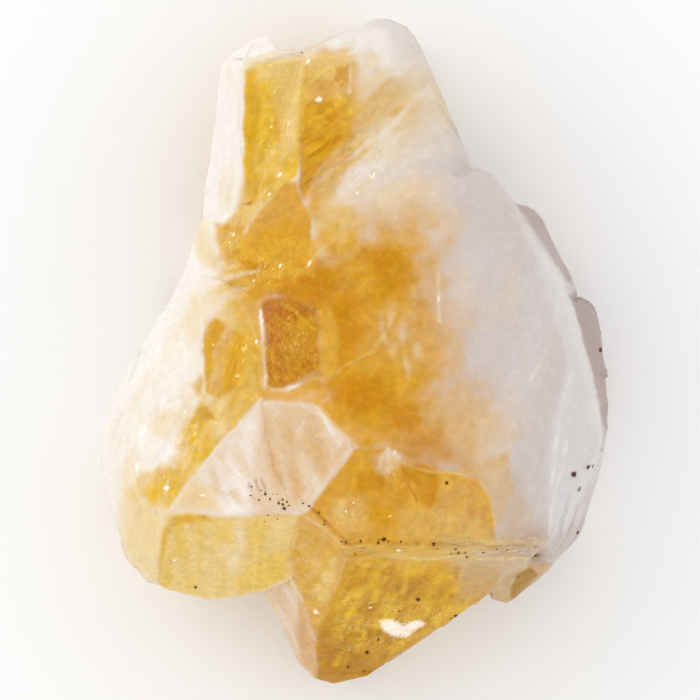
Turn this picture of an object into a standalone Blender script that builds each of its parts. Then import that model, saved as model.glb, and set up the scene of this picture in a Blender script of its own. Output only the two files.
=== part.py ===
"""A broken-off citrine crystal point, lying on the flat fracture at its back.

The stone is one natural solid.  It is described as the lumps that grew or broke together: a neck with
a sunken window and a thin flap, a waist, the broad body, a lobe, the faceted point with its crest, a
step of older stone behind the right edge, and a small knob.  Each lump is the convex hull of named
corners; the lumps are united, the hollows are cut out, and the back is sliced flat.

Corners are (across, along, above the table) in millimetres.  The point is towards -Y, the neck
towards +Y, and the table is z = 0.
"""

import bmesh
import bpy
from mathutils import Matrix, Vector
from mathutils.geometry import normal

# ---- Driving dimensions, in millimetres ------------------------------------------------------------

UNIT = 0.001
NAME = "citrine_crystal"
BELLY_SPREAD = (0.97, 0.91, 0.95)   # how far the flanks bulge between rim and foot, corner by corner
BELLY_LEVEL = (0.46, 0.62, 0.34)    # and at what share of the rim's height
SLICE = 60.0            # side of the block that slices the back flat

# The four corners of the pale facet in the middle of the point; the last one lies in their plane.
SHOULDER = Vector((-6.8, -3.3, 21.5))
BROW = Vector((-0.3, -7.1, 25.2))
APEX = Vector((-3.5, -11.5, 25.0))
SADDLE = Vector((-0.3, -14.5, 22.75))
TOE = Vector((-3.0, -23.1, 9.0))
LOBE_FOOT = Vector((-10.8, -18.6, 12.7))
SPINE = Vector((-2.9, 6.1, 22.5))


def on_facet(facet, across, along):
    """The corner over (across, along) that lies in the plane of three other corners."""
    upright = normal(facet)
    away = Vector((across, along, 0.0)) - facet[0]
    height = -(upright.x * away.x + upright.y * away.y) / upright.z
    return Vector((across, along, facet[0].z + height))


PALE_FACET = (SHOULDER, BROW, APEX)
CREST_FACET = (BROW, APEX, SADDLE)
MIDDLE_FACET = (APEX, SADDLE, TOE)
CHEEK = on_facet(PALE_FACET, -14.1, -12.6)
LOWER_FACET = (APEX, CHEEK, LOBE_FOOT)
CREST_END = on_facet(CREST_FACET, 14.2, -14.6)
GOLD_FACET = (SADDLE, CREST_END, TOE)
MIDDLE_FOOT = on_facet(LOWER_FACET, -4.7, -16.8)
BROAD_FACE = (BROW - Vector((0.0, 0.0, 0.15)), Vector((11.5, 11.0, 15.2)), Vector((18.1, -3.8, 15.4)))


def on_broad_face(across, along, swell):
    """A corner of the broad face to the right, which swells a little above its own plane."""
    return on_facet(BROAD_FACE, across, along) + Vector((0.0, 0.0, swell))


# ---- The lumps ----------------------------------------------------------------------------------
# Each has the corners of its front and of its rim, the share of the rim's spread that is left at its
# foot, and the height of that foot.  A foot below the table is sliced off with the back.

POINT = {
    "front": [
        BROW, APEX, SADDLE, TOE, CREST_END,
        on_facet(CREST_FACET, 11.3, -7.3),
        on_facet(MIDDLE_FACET, -4.7, -16.8),
        on_facet(GOLD_FACET, 3.3, -15.5) + Vector((0.0, 0.0, 0.5)),
        on_facet(GOLD_FACET, 13.6, -15.5) + Vector((0.0, 0.0, 0.5)),
    ],
    "rim": [
        on_facet(GOLD_FACET, 10.1, -18.0), on_facet(GOLD_FACET, 5.6, -21.3),
        on_facet(GOLD_FACET, 0.8, -24.4), on_facet(GOLD_FACET, -1.7, -25.1),
        (-3.0, -24.6, 6.0), (-4.1, -23.5, 6.6), (-5.3, -21.3, 7.2), (-6.9, -18.0, 8.2),
        (13.4, -7.0, 10.0), (-6.0, -8.0, 10.0),
    ],
    "tuck": 0.62,
    "foot": -2.0,
}

LOBE = {
    "front": [
        SHOULDER, BROW, APEX, CHEEK, MIDDLE_FOOT,
        (-10.0, 5.4, 17.2), (-7.6, 4.2, 18.6), (-7.2, 1.2, 19.6), (-15.2, -6.6, 18.6),
    ],
    "rim": [
        on_facet(LOWER_FACET, -6.9, -18.0), LOBE_FOOT, on_facet(LOWER_FACET, -13.2, -18.1),
        on_facet(LOWER_FACET, -15.6, -17.3), (-17.1, -15.7, 12.6), (-17.8, -13.0, 12.6),
        (-18.0, -10.6, 13.0), (-18.95, -8.3, 13.4), (-18.9, -5.9, 13.2), (-18.2, -3.5, 12.6),
        (-16.2, -0.3, 11.8), (-14.1, 3.4, 11.6), (-12.8, 6.0, 11.4), (-4.0, 2.0, 10.0),
    ],
    "tuck": 0.66,
    "foot": -2.0,
}

BODY = {
    "front": [
        SPINE, *BROAD_FACE, CREST_END, on_facet(CREST_FACET, 11.3, -7.3),
        on_broad_face(2.6, 2.6, 0.35), on_broad_face(7.0, -2.4, 0.75), on_broad_face(7.6, 4.6, 0.65),
        on_broad_face(12.4, -1.2, 0.85), on_broad_face(3.4, 8.4, 0.2), on_broad_face(11.6, 5.0, 0.6),
        on_broad_face(15.4, -6.4, 1.0), on_broad_face(16.0, 0.6, 0.7),
        (-6.6, 0.6, 20.6), (-6.9, 5.4, 19.2), (-2.8, 10.6, 21.3), (4.4, 11.6, 18.2),
        (8.2, 13.0, 15.8), (10.0, 12.8, 14.8), (13.7, 8.1, 15.3), (15.5, 5.4, 15.3),
        (16.4, 3.0, 15.4), (17.3, -0.2, 15.4), (18.2, -6.8, 14.8), (14.8, -12.6, 17.4),
    ],
    "rim": [
        (18.5, -7.9, 9.6), (17.6, -11.1, 9.4), (16.9, -13.3, 9.2), (16.1, -15.0, 9.0),
        (15.3, -16.2, 8.8), (9.1, 13.9, 12.8), (10.2, 13.4, 12.0), (10.9, 12.4, 11.0),
        (11.5, 11.4, 9.8), (-9.6, 6.4, 9.0),
    ],
    "tuck": 0.74,
    "foot": -2.0,
}

WAIST = {
    "front": [
        (-6.5, 11.6, 19.4), (-4.0, 11.0, 20.9), (-3.3, 8.0, 21.4), (-5.2, 6.4, 19.6),
        (-8.1, 6.3, 17.8), (-9.0, 8.1, 17.2), (-9.8, 4.8, 17.0), (-6.4, 3.4, 19.2),
    ],
    "rim": [
        (-11.6, 9.8, 11.8), (-12.2, 7.9, 11.6), (-12.8, 5.8, 11.4), (-13.3, 4.4, 11.4),
        (-2.0, 12.0, 9.0), (-2.0, 2.0, 9.0),
    ],
    "tuck": 0.76,
    "foot": -2.0,
}

NECK = {
    "front": [
        (-4.0, 21.9, 19.2), (-4.8, 14.0, 20.7), (-6.4, 11.8, 20.0), (-0.8, 21.8, 18.6),
        (2.9, 21.0, 17.0), (-2.0, 8.0, 21.2), (5.6, 8.0, 18.0), (7.4, 12.4, 16.0),
        (6.2, 15.6, 16.6),
        (-8.6, 8.3, 17.6), (-4.0, 9.0, 20.8),
    ],
    "rim": [
        (-3.9, 22.6, 14.6), (-2.3, 23.3, 13.8), (-0.4, 24.4, 13.0), (1.5, 25.1, 12.0),
        (2.6, 24.9, 11.6), (3.7, 24.3, 11.6), (4.4, 23.4, 11.8), (5.6, 20.3, 12.6),
        (6.5, 17.8, 13.2), (7.3, 16.2, 13.6), (8.1, 15.0, 13.8), (8.6, 14.2, 13.6),
        (8.6, 8.0, 12.0), (-7.6, 8.0, 12.0),
    ],
    "tuck": 0.70,
    "foot": -2.0,
}

WINDOW = {
    "front": [
        (-8.4, 21.2, 16.2), (-4.0, 21.8, 17.6), (-8.7, 17.5, 16.8), (-8.3, 14.8, 17.2),
        (-8.3, 11.2, 17.6), (-6.4, 11.4, 18.4), (-3.6, 14.0, 18.6),
    ],
    "rim": [
        (-8.5, 21.9, 13.8), (-5.6, 22.5, 13.6), (-4.0, 22.5, 13.4), (-8.9, 17.5, 12.0),
        (-8.7, 10.4, 12.0), (-2.0, 18.0, 12.0), (-2.0, 10.0, 12.0),
    ],
    "tuck": 0.72,
    "foot": 2.5,
}

FLAP = {
    "front": [
        (-8.4, 21.8, 14.6), (-8.5, 17.4, 14.8), (-8.0, 15.0, 15.2), (-8.0, 11.2, 15.8),
        (-8.8, 10.1, 15.4),
    ],
    "rim": [
        (-9.6, 22.1, 12.6), (-10.1, 21.9, 12.4), (-10.3, 20.4, 12.4), (-10.9, 15.0, 12.2),
        (-11.5, 10.0, 12.0), (-10.8, 9.2, 12.4), (-6.0, 20.0, 11.0), (-6.0, 11.0, 11.0),
    ],
    "tuck": 0.55,
    "foot": 6.5,
}

CHIP = {
    "front": [(-8.4, 21.9, 13.2), (-7.2, 21.6, 14.2), (-6.0, 22.2, 13.4)],
    "rim": [
        (-9.6, 22.1, 11.4), (-8.7, 22.8, 11.0), (-7.6, 23.4, 10.8), (-6.8, 23.7, 10.6),
        (-6.3, 23.3, 11.0), (-5.6, 22.4, 11.6), (-6.0, 20.4, 9.0), (-9.2, 20.4, 9.0),
    ],
    "tuck": 0.60,
    "foot": 7.5,
}

UPPER_STEP = {
    "front": [(10.6, 11.2, 12.6), (12.6, 8.6, 13.0), (14.6, 5.4, 13.0)],
    "rim": [
        (11.7, 11.4, 11.0), (12.5, 11.1, 10.8), (13.3, 10.6, 10.6), (13.9, 9.8, 10.4),
        (15.1, 7.4, 10.0), (15.7, 6.4, 9.8), (16.4, 4.6, 9.8), (16.8, 2.0, 9.4),
        (8.0, 6.0, 8.0), (9.0, 10.0, 8.0),
    ],
    "tuck": 0.72,
    "foot": 2.5,
}

LOWER_STEP = {
    "front": [(15.6, 3.0, 13.2), (16.6, -0.8, 13.4), (17.2, -4.2, 13.4), (17.2, -6.8, 13.0)],
    "rim": [
        (16.8, 4.0, 10.2), (17.9, 3.4, 9.8), (18.2, 2.2, 9.6), (18.6, 0.6, 9.4), (18.4, -1.8, 9.6),
        (18.95, -4.0, 9.8), (18.9, -4.6, 9.8), (18.5, -6.2, 9.6), (18.5, -7.9, 9.4),
        (10.0, 2.0, 8.0), (12.0, -7.0, 8.0),
    ],
    "tuck": 0.72,
    "foot": 2.0,
}

KNOB = {
    "front": [(10.4, -17.5, 13.2), (11.8, -16.8, 13.8), (13.1, -16.3, 13.4), (14.8, -15.9, 12.4)],
    "rim": [
        (10.1, -18.7, 10.8), (11.3, -19.0, 10.0), (12.9, -18.0, 9.6), (14.3, -17.1, 9.2),
        (15.4, -16.2, 9.0), (12.0, -14.0, 7.0), (9.0, -15.0, 8.0),
    ],
    "tuck": 0.62,
    "foot": 4.5,
}

BACK = {
    "front": [(-4.6, -1.0, 16.0), (-3.4, -10.4, 17.0), (3.0, -8.0, 17.0), (-5.0, 9.6, 14.0), (1.0, 12.0, 13.0)],
    "rim": [
        (-6.8, 18.0, 5.0), (1.6, 19.6, 4.4), (5.2, 13.8, 5.2), (9.6, 8.6, 4.8), (14.4, 1.0, 4.2),
        (15.4, -6.0, 4.6), (12.6, -12.4, 5.2), (4.2, -17.6, 4.4), (-1.2, -20.4, 3.8), (-10.8, -14.8, 4.6),
        (-15.0, -10.2, 5.4), (-15.2, -5.0, 5.0), (-10.6, 4.4, 4.4), (-8.4, 12.0, 4.8),
    ],
    "tuck": 0.93,
    "foot": -2.0,
}

LUMPS = {
    "lobe": LOBE, "point": POINT, "waist": WAIST, "neck": NECK, "window": WINDOW, "flap": FLAP,
    "chip": CHIP, "upper_step": UPPER_STEP, "lower_step": LOWER_STEP, "knob": KNOB, "back": BACK,
}

# ---- The hollows -------------------------------------------------------------------------------

PIT = [
    (-6.9, 1.8, 17.4), (-6.5, -2.2, 17.6), (-3.4, -1.0, 20.2), (-3.6, 1.6, 20.0),
    (-7.3, 7.2, 28.0), (-6.8, -3.0, 28.0), (-5.2, -3.2, 28.0), (-2.4, -2.0, 28.0),
    (-1.9, 1.4, 28.0), (-2.4, 4.8, 28.0), (-3.6, 7.0, 28.0),
]
STRIATED_NOTCH = [
    (-4.3, 15.4, 19.9), (-3.9, 11.6, 20.4), (-2.8, 13.2, 19.6), (-1.4, 15.8, 18.8),
    (-4.4, 16.4, 28.0), (-3.9, 10.6, 28.0), (-2.4, 13.2, 28.0), (-0.6, 16.6, 28.0),
]
SIDE_HOLLOW = [
    (-10.2, 9.2, 13.4), (-9.6, 9.0, 13.8), (-9.4, 7.2, 14.0), (-10.1, 7.0, 13.6),
    (-10.9, 9.8, 20.0), (-9.0, 9.6, 20.0), (-8.7, 6.8, 20.0), (-10.4, 6.4, 20.0), (-11.1, 8.0, 20.0),
]
HOLLOWS = {"pit": PIT, "striated_notch": STRIATED_NOTCH, "side_hollow": SIDE_HOLLOW}


# ---- Building blocks ---------------------------------------------------------------------------

def start_clean():
    for obj in list(bpy.data.objects):
        bpy.data.objects.remove(obj, do_unlink=True)


def new_collection(name):
    collection = bpy.data.collections.new(name)
    bpy.context.scene.collection.children.link(collection)
    return collection


def hull(name, corners, collection):
    """A closed convex solid around the corners."""
    shape = bmesh.new()
    for corner in corners:
        shape.verts.new(Vector(corner) * UNIT)
    result = bmesh.ops.convex_hull(shape, input=shape.verts)
    loose = [v for v in result["geom_interior"] if isinstance(v, bmesh.types.BMVert)]
    bmesh.ops.delete(shape, geom=loose, context="VERTS")
    bmesh.ops.dissolve_limit(shape, angle_limit=0.002, verts=shape.verts, edges=shape.edges)
    bmesh.ops.recalc_face_normals(shape, faces=shape.faces)
    mesh = bpy.data.meshes.new(name)
    shape.to_mesh(mesh)
    shape.free()
    obj = bpy.data.objects.new(name, mesh)
    collection.objects.link(obj)
    return obj


def drawn_in(corner, centre, spread, height):
    moved = centre.lerp(corner, spread)
    moved.z = height
    return moved


def lump(name, form, collection):
    """A lump's hull: its front, its rim, an uneven belly below the rim, and a narrower foot."""
    rim = [Vector(corner) for corner in form["rim"]]
    centre = sum(rim, Vector()) / len(rim)
    corners = list(form["front"]) + rim
    for i, corner in enumerate(rim):
        level = form["foot"] + (corner.z - form["foot"]) * BELLY_LEVEL[i % 3]
        corners.append(drawn_in(corner, centre, BELLY_SPREAD[i % 3], level))
        corners.append(drawn_in(corner, centre, form["tuck"], form["foot"]))
    return hull(name, corners, collection)


def as_guide(obj):
    obj.hide_render = True
    obj.display_type = "WIRE"


def join_or_cut(target, tool, operation):
    step = target.modifiers.new(f"{operation.lower()}_{tool.name}", "BOOLEAN")
    step.operation = operation
    step.solver = "EXACT"
    step.object = tool


def slice_block(collection):
    """The block under the table that cuts the back flat."""
    shape = bmesh.new()
    bmesh.ops.create_cube(shape, size=SLICE * UNIT)
    bmesh.ops.transform(shape, matrix=Matrix.Translation((0, 0, -SLICE / 2 * UNIT)), verts=shape.verts)
    mesh = bpy.data.meshes.new("back_slice")
    shape.to_mesh(mesh)
    shape.free()
    obj = bpy.data.objects.new("back_slice", mesh)
    collection.objects.link(obj)
    return obj


def citrine():
    material = bpy.data.materials.new("citrine")
    material.use_nodes = True
    shader = material.node_tree.nodes["Principled BSDF"]
    shader.inputs["Base Color"].default_value = (0.80, 0.56, 0.20, 1.0)
    shader.inputs["Roughness"].default_value = 0.22
    shader.inputs["Metallic"].default_value = 0.0
    shader.inputs["IOR"].default_value = 1.54
    return material


def build():
    start_clean()
    parts = new_collection(NAME)
    guides = new_collection("guides")
    crystal = lump(NAME, BODY, parts)
    crystal.data.materials.append(citrine())
    for name, form in LUMPS.items():
        piece = lump(name, form, guides)
        as_guide(piece)
        join_or_cut(crystal, piece, "UNION")
    cutters = [hull(name, corners, guides) for name, corners in HOLLOWS.items()]
    cutters.append(slice_block(guides))
    for cutter in cutters:
        as_guide(cutter)
        join_or_cut(crystal, cutter, "DIFFERENCE")


build()
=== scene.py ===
"""The looks of the citrine crystal point: its fine relief, its colours and its clear quartz.

Lengths are in millimetres on the table's axes unless a comment says metres.  +X is the milky side,
+Y the broken neck, +Z up through the faceted front.  Places on the front are pixels of the
photograph's 700x700 frame, (right, down), which on_table() turns into millimetres.
"""

import itertools
import math

import bmesh
import bpy
import numpy as np
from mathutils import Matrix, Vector
from mathutils.geometry import delaunay_2d_cdt


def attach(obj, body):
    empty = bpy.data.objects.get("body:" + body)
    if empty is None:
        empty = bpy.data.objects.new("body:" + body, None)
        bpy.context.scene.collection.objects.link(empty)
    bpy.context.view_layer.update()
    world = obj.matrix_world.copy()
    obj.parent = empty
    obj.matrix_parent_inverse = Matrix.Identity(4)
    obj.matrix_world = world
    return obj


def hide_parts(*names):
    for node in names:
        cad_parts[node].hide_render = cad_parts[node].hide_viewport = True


MM = 0.001
NODE = "citrine_crystal"
FRONT_STEP = 0.175      # spacing of the fine mesh on facets that face up
FLANK_STEP = 0.34       # on the flanks
BACK_STEP = 0.80        # and on the back fracture
FRONT_FACING = 0.05     # a facet faces up when its normal's height is more than this,
BACK_FACING = -0.9      # and belongs to the back when it is less than this
LATTICE_ROW = 0.866     # from one row of an even lattice to the next, as a share of its step
LATTICE_SHAKE = 0.12    # how far its points are moved at random, as a share too
RIM_GAP = 0.55          # and how far they keep from the facet's rim
SEED = 11

PHOTO_MM = 0.075                # millimetres to one pixel of the photograph
PHOTO_ORIGIN = (356.0, 351.5)   # the pixel over the middle of the table
PHOTO_SIDE = 700                # the photograph's width and height in pixels
FLAT_BACK = 0.02                # points lower than this belong to the flat back
FINEST = 0.20                   # random detail smaller than this is left to the material
GRID_SHIFT = 57.3               # keeps the corners of the random cells off the table's middle
HASH_FACTORS = np.array([73856093, 19349663, 83492791])

# ---- Outlines that more than one table uses --------------------------------------------------------

AREAS = {
    "heart": [(322, 250), (400, 240), (430, 300), (424, 430), (360, 440), (322, 380)],
    "triangle": [(299, 139), (352, 134), (330, 170), (304, 206)],
    "window": [(246, 72), (303, 60), (290, 178), (250, 206)],
    "pit": [(268, 300), (319, 306), (320, 372), (268, 388)],
    "pit threads": [(266, 302), (320, 302), (320, 376), (268, 388)],
    "pale facet": [(262, 398), (318, 406), (352, 446), (311, 506), (176, 506)],
    "crest facet": [(356, 450), (490, 476), (492, 540), (330, 520)],
    "lower left": [(166, 516), (298, 513), (290, 578), (232, 599), (156, 588)],
    "lower left facet": [(166, 514), (300, 513), (290, 578), (232, 599), (156, 588)],
    "middle facet": [(300, 515), (348, 546), (318, 630), (292, 570)],
    "pink face": [(264, 592), (291, 578), (315, 645), (317, 680)],
}

# ---- Colours, as sRGB ------------------------------------------------------------------------------

COLOURS = {
    "glint": "FFFAF0",      # painted highlights, and opened cracks
    "milk": "F0EAE2",       # cloudy quartz with no colour
    "lilac": "CCC1BC",      # the same in the shade of the right side
    "frost": "DADADC",      # its cold lights: painted sheen
    "pale": "E4D2BE",       # the matt facet in the middle
    "blush": "E2C6A0",
    "straw": "EACB84",
    "honey": "E7B742",
    "canary": "F0CA30",     # bright small planes inside the gold
    "lemon": "F0C21C",
    "goldleaf": "E2AC10",
    "gold": "D49A08",
    "ochre": "C48400",
    "amber": "DC9E10",
    "deep": "CF8800",
    "pit": "C27000",
    "peach": "D5A868",
    "taupe": "C4A476",
    "bronze": "AE8230",
    # painted shade of the steep right band
    "mauve": "AE9C98",
    "rust": "9A4F22",
}

# ---- Soft clouds of colour: (colour, strength, softness, middle, radii, turn in degrees) -------------

CLOUDS = {
    "haze right of the neck": ("straw", 0.62, 0.9, (388, 110), (66, 58), 0),
    "peach in the haze": ("peach", 0.35, 0.9, (402, 98), (46, 34), 0),
    "veil under the neck": ("blush", 0.75, 0.9, (390, 196), (72, 44), -14),
    "peach over the heart": ("peach", 0.75, 0.9, (386, 226), (64, 30), -8),
    "gold over the heart": ("honey", 0.85, 0.7, (338, 240), (28, 26), 0),
    "lobe field": ("straw", 0.85, 0.8, (226, 372), (48, 96), 10),
    "lobe field, inner": ("honey", 0.90, 0.7, (242, 350), (34, 78), 6),
    "flank field": ("straw", 0.70, 0.8, (168, 540), (56, 60), 0),
    "neck core": ("amber", 0.97, 0.45, (324, 108), (38, 66), 0),
    "neck core's right": ("peach", 0.55, 0.8, (370, 92), (30, 44), 0),
    "waist field": ("honey", 0.95, 0.5, (266, 274), (54, 40), 0),
    "waist core": ("amber", 0.92, 0.5, (284, 268), (44, 46), 0),
    "milk beside the waist": ("milk", 0.75, 0.6, (192, 262), (16, 40), 12),
    "straw beside the waist": ("straw", 0.60, 0.8, (208, 246), (18, 26), 0),
    "peach right of the heart": ("peach", 0.85, 0.8, (420, 336), (46, 96), -4),
    "peach towards the crest": ("peach", 0.72, 0.9, (458, 420), (56, 52), 0),
    "heart": ("amber", 0.96, 0.45, (364, 340), (70, 118), 3),
    "heart, upper": ("amber", 0.92, 0.6, (378, 268), (64, 44), 8),
    "heart, lower": ("amber", 0.95, 0.6, (384, 408), (72, 48), -22),
    "peach in the heart": ("peach", 0.58, 0.8, (404, 334), (32, 36), 20),
    "straw in the heart": ("straw", 0.20, 0.9, (374, 352), (26, 20), 40),
    "deep spot above": ("deep", 0.70, 0.8, (390, 270), (32, 26), 6),
    "deep spot left": ("deep", 0.55, 0.8, (330, 286), (30, 30), 0),
    "deep spot middle": ("deep", 0.85, 0.7, (346, 326), (22, 26), 0),
    "deep spot low": ("deep", 0.60, 0.8, (356, 392), (34, 24), 10),
    "deep spot low right": ("deep", 0.60, 0.8, (402, 414), (26, 22), 10),
    "deep spot over the pit": ("deep", 0.97, 0.5, (298, 294), (26, 22), 0),
    "straw over the neck core": ("straw", 0.60, 0.8, (326, 62), (26, 12), 10),
    "white of the neck's tip": ("milk", 0.60, 0.7, (374, 42), (28, 18), -20),
    "veil along the spine": ("honey", 0.75, 0.7, (326, 212), (18, 34), 30),
    "lobe white, upper": ("milk", 0.70, 0.8, (180, 350), (24, 54), 24),
    "lobe yellow": ("honey", 0.92, 0.7, (202, 436), (36, 46), 20),
    "lobe yellow core": ("lemon", 0.75, 0.8, (200, 440), (22, 34), 16),
    "lobe pool": ("honey", 0.95, 0.5, (164, 486), (36, 32), 0),
    "lobe pool core": ("lemon", 0.70, 0.8, (162, 498), (24, 18), 0),
    "lobe white": ("milk", 0.75, 0.7, (136, 440), (24, 34), 0),
    "gold right of the pit": ("deep", 0.45, 0.8, (330, 350), (16, 26), 0),
    "peach over the wedge": ("peach", 0.85, 0.9, (444, 436), (56, 38), -10),
    "gold over the wedge": ("deep", 0.70, 0.8, (432, 449), (38, 26), -20),
    "honey over the lobe": ("honey", 0.40, 0.9, (220, 296), (28, 32), 0),
    "straw in the lobe": ("straw", 0.50, 0.9, (176, 416), (22, 26), 20),
}

# ---- Plates with an edge of their own: (colour, strength, blur of the edge in pixels, outline) -------

PLATES = {
    "neck window": ("lemon", 0.97, 2.5, [
        (246, 72), (262, 64), (304, 60), (301, 100), (301, 118), (300, 150), (297, 178), (276, 194),
        (250, 206), (244, 180), (244, 120), (245, 90)]),
    "window, top": ("straw", 0.75, 6, [(246, 60), (302, 54), (304, 72), (250, 84)]),
    "window, dark band": ("goldleaf", 0.75, 4, [
        (245, 76), (256, 72), (262, 100), (258, 130), (256, 190), (248, 204), (245, 150)]),
    "window, bright side": ("straw", 0.80, 9, [
        (282, 74), (300, 66), (297, 118), (291, 150), (282, 172), (274, 178), (284, 140)]),
    "window, foot": ("amber", 0.55, 6, [(248, 178), (276, 172), (272, 192), (252, 206)]),
    "below the window": ("honey", 0.85, 5, [
        (244, 176), (284, 182), (262, 208), (246, 232), (234, 242), (224, 228), (238, 206)]),
    "waist facet": ("amber", 0.93, 2.5, [
        (281, 187), (297, 181), (303, 205), (312, 216), (312, 245), (308, 262), (284, 268),
        (250, 268), (232, 258), (238, 246), (250, 226), (264, 206)]),
    "beside the triangle": ("peach", 0.85, 6, [
        (318, 172), (344, 140), (358, 148), (346, 174), (332, 200), (318, 228), (308, 214)]),
    "striated triangle": ("deep", 0.90, 3, [
        (299, 139), (344, 136), (330, 156), (318, 172), (304, 206), (299, 188)]),
    "side hollow": ("goldleaf", 0.85, 5, [
        (217, 223), (242, 228), (246, 246), (238, 262), (226, 262), (216, 240)]),
    "haze by the lobe window": ("goldleaf", 0.55, 9, [
        (238, 300), (256, 332), (262, 396), (238, 424), (226, 400), (246, 360)]),
    "lobe window": ("amber", 0.97, 3, [
        (203, 320), (214, 318), (226, 326), (246, 338), (244, 374), (232, 392), (222, 398), (207, 394)]),
    "pit": ("pit", 0.97, 4, [
        (262, 303), (270, 297), (300, 300), (316, 312), (319, 345), (319, 370), (302, 378),
        (284, 388), (267, 388), (265, 345)]),
    "lip of the pit": ("honey", 0.55, 2, [
        (268, 391), (290, 390), (318, 380), (316, 388), (296, 398), (270, 398)]),
    "pale facet": ("pale", 0.98, 2, [
        (262, 396), (300, 399), (318, 404), (354, 447), (313, 509), (262, 517), (222, 521),
        (170, 512), (190, 480), (212, 453), (240, 422)]),
    "pale facet, warm side": ("peach", 0.82, 8, [
        (286, 404), (318, 406), (350, 446), (318, 488), (296, 498), (284, 450)]),
    "pale facet, rusty streak": ("peach", 0.65, 4, [
        (262, 404), (272, 412), (276, 450), (284, 478), (280, 492), (270, 470), (262, 440)]),
    "pale facet, white low": ("milk", 0.80, 9, [
        (224, 500), (232, 470), (246, 462), (252, 488), (248, 512), (228, 516)]),
    "pale facet, straw corner": ("straw", 0.65, 6, [
        (192, 480), (216, 486), (220, 508), (178, 506)]),
    "pale facet, clear veil": ("pale", 0.50, 4, [
        (302, 404), (318, 406), (336, 430), (334, 440), (318, 432), (306, 420)]),
    "crest facet": ("amber", 0.95, 3, [
        (354, 448), (382, 446), (402, 463), (450, 470), (476, 478), (489, 496), (494, 530),
        (496, 549), (352, 549), (330, 528), (309, 509), (326, 486)]),
    "crest facet, pale end": ("peach", 0.60, 7, [
        (440, 476), (474, 482), (486, 500), (490, 530), (460, 534), (436, 520)]),
    "crest facet, dark left": ("amber", 0.85, 6, [
        (350, 462), (368, 458), (376, 470), (372, 500), (398, 512), (392, 526), (364, 522), (352, 490)]),
    "bruise": ("milk", 0.45, 5, [
        (373, 456), (388, 448), (399, 456), (397, 466), (384, 474), (375, 470)]),
    "crest facet, milky left": ("straw", 0.65, 7, [
        (340, 500), (352, 496), (358, 518), (346, 524), (336, 512)]),
    "wedge": ("peach", 0.62, 3, [
        (402, 463), (450, 470), (507, 450), (508, 462), (512, 490), (500, 520), (494, 530),
        (489, 496), (476, 478)]),
    "wedge, tip": ("amber", 0.28, 3, [(470, 470), (507, 450), (507, 460), (490, 472)]),
    "right of the crest": ("taupe", 0.55, 14, [
        (495, 540), (512, 470), (524, 500), (545, 545), (500, 560)]),
    "straw flank": ("straw", 0.60, 9, [(126, 470), (160, 520), (156, 586), (130, 562), (120, 530)]),
    "lower left facet": ("straw", 0.97, 3, [
        (166, 514), (190, 511), (222, 517), (300, 513), (297, 530), (290, 556), (291, 578),
        (264, 592), (232, 599), (205, 600), (180, 594), (156, 588), (160, 560)]),
    "lower left, curved band": ("goldleaf", 0.90, 4, [
        (164, 530), (172, 517), (190, 511), (206, 514), (215, 520), (182, 522), (172, 532),
        (164, 556), (158, 580)]),
    "lower left, dark corner": ("lemon", 0.55, 7, [
        (262, 556), (288, 548), (290, 578), (268, 588), (240, 592), (234, 580)]),
    "lower left, pale patch": ("milk", 0.50, 8, [
        (224, 530), (238, 520), (244, 540), (232, 570), (222, 560)]),
    "middle facet": ("amber", 0.85, 2.5, [
        (300, 513), (313, 507), (350, 545), (340, 578), (332, 600), (320, 620), (315, 642),
        (303, 600), (292, 578), (291, 556)]),
    "middle facet, pale": ("straw", 0.75, 6, [
        (318, 560), (336, 552), (336, 580), (326, 604), (312, 590)]),
    "middle facet, leaf": ("goldleaf", 0.80, 4, [
        (291, 546), (300, 550), (318, 540), (318, 546), (292, 560)]),
    "pink face": ("blush", 0.96, 2.5, [
        (264, 592), (277, 582), (291, 578), (303, 600), (315, 645), (317, 680), (300, 664), (284, 634)]),
    "gold face": ("gold", 0.98, 2, [
        (350, 545), (400, 546), (460, 550), (500, 572), (492, 594), (440, 630), (395, 660),
        (367, 678), (334, 688), (318, 682), (315, 645), (320, 620), (340, 578)]),
    "gold face, deep foot": ("ochre", 0.62, 10, [
        (316, 640), (328, 620), (352, 626), (372, 644), (392, 650), (378, 668), (334, 688), (318, 682)]),
    "gold face, left strip": ("goldleaf", 0.60, 8, [
        (350, 556), (366, 560), (350, 596), (330, 628), (320, 628), (338, 584)]),
    "gold face, upper strip": ("amber", 0.60, 6, [
        (354, 560), (446, 560), (456, 590), (400, 584), (356, 584)]),
    "gold face, pale end": ("taupe", 0.70, 12, [
        (456, 556), (500, 560), (492, 592), (462, 606), (452, 580)]),
    "gold face, pale foot": ("honey", 0.60, 8, [
        (396, 600), (440, 600), (470, 604), (430, 634), (404, 640), (372, 616)]),
    "under the crest": ("straw", 0.50, 7, [(354, 546), (480, 546), (470, 562), (400, 560)]),
    "under the crest, right": ("taupe", 0.80, 14, [
        (440, 534), (545, 534), (540, 570), (500, 584), (450, 566)]),
    # painted shade towards the right end of the crest
    "lilac end of the crest": ("mauve", 0.42, 12, [
        (512, 530), (580, 520), (574, 556), (548, 566), (516, 560)]),
    "knob": ("taupe", 0.95, 2, [
        (488, 588), (512, 572), (545, 562), (564, 566), (544, 582), (508, 606), (492, 604)]),
    # painted cold sheen along the broad face's right rim
    "light side of the broad face": ("frost", 0.45, 6, [
        (528, 236), (552, 262), (574, 298), (586, 344), (600, 400), (603, 440), (590, 480), (572, 520),
        (552, 536), (546, 500), (546, 450), (552, 420), (566, 360), (553, 310), (544, 284)]),
    # the steep right band's steps, darker mauve: painted shade
    "step, upper": ("mauve", 0.76, 2, [
        (514, 198), (530, 196), (548, 210), (564, 236), (578, 258), (586, 288), (566, 280),
        (545, 248), (528, 220)]),
    "step, lower": ("mauve", 0.95, 2, [
        (572, 292), (598, 292), (614, 308), (620, 350), (620, 385), (624, 410), (608, 448),
        (598, 402), (592, 372), (583, 340), (576, 314)]),
}

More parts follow.
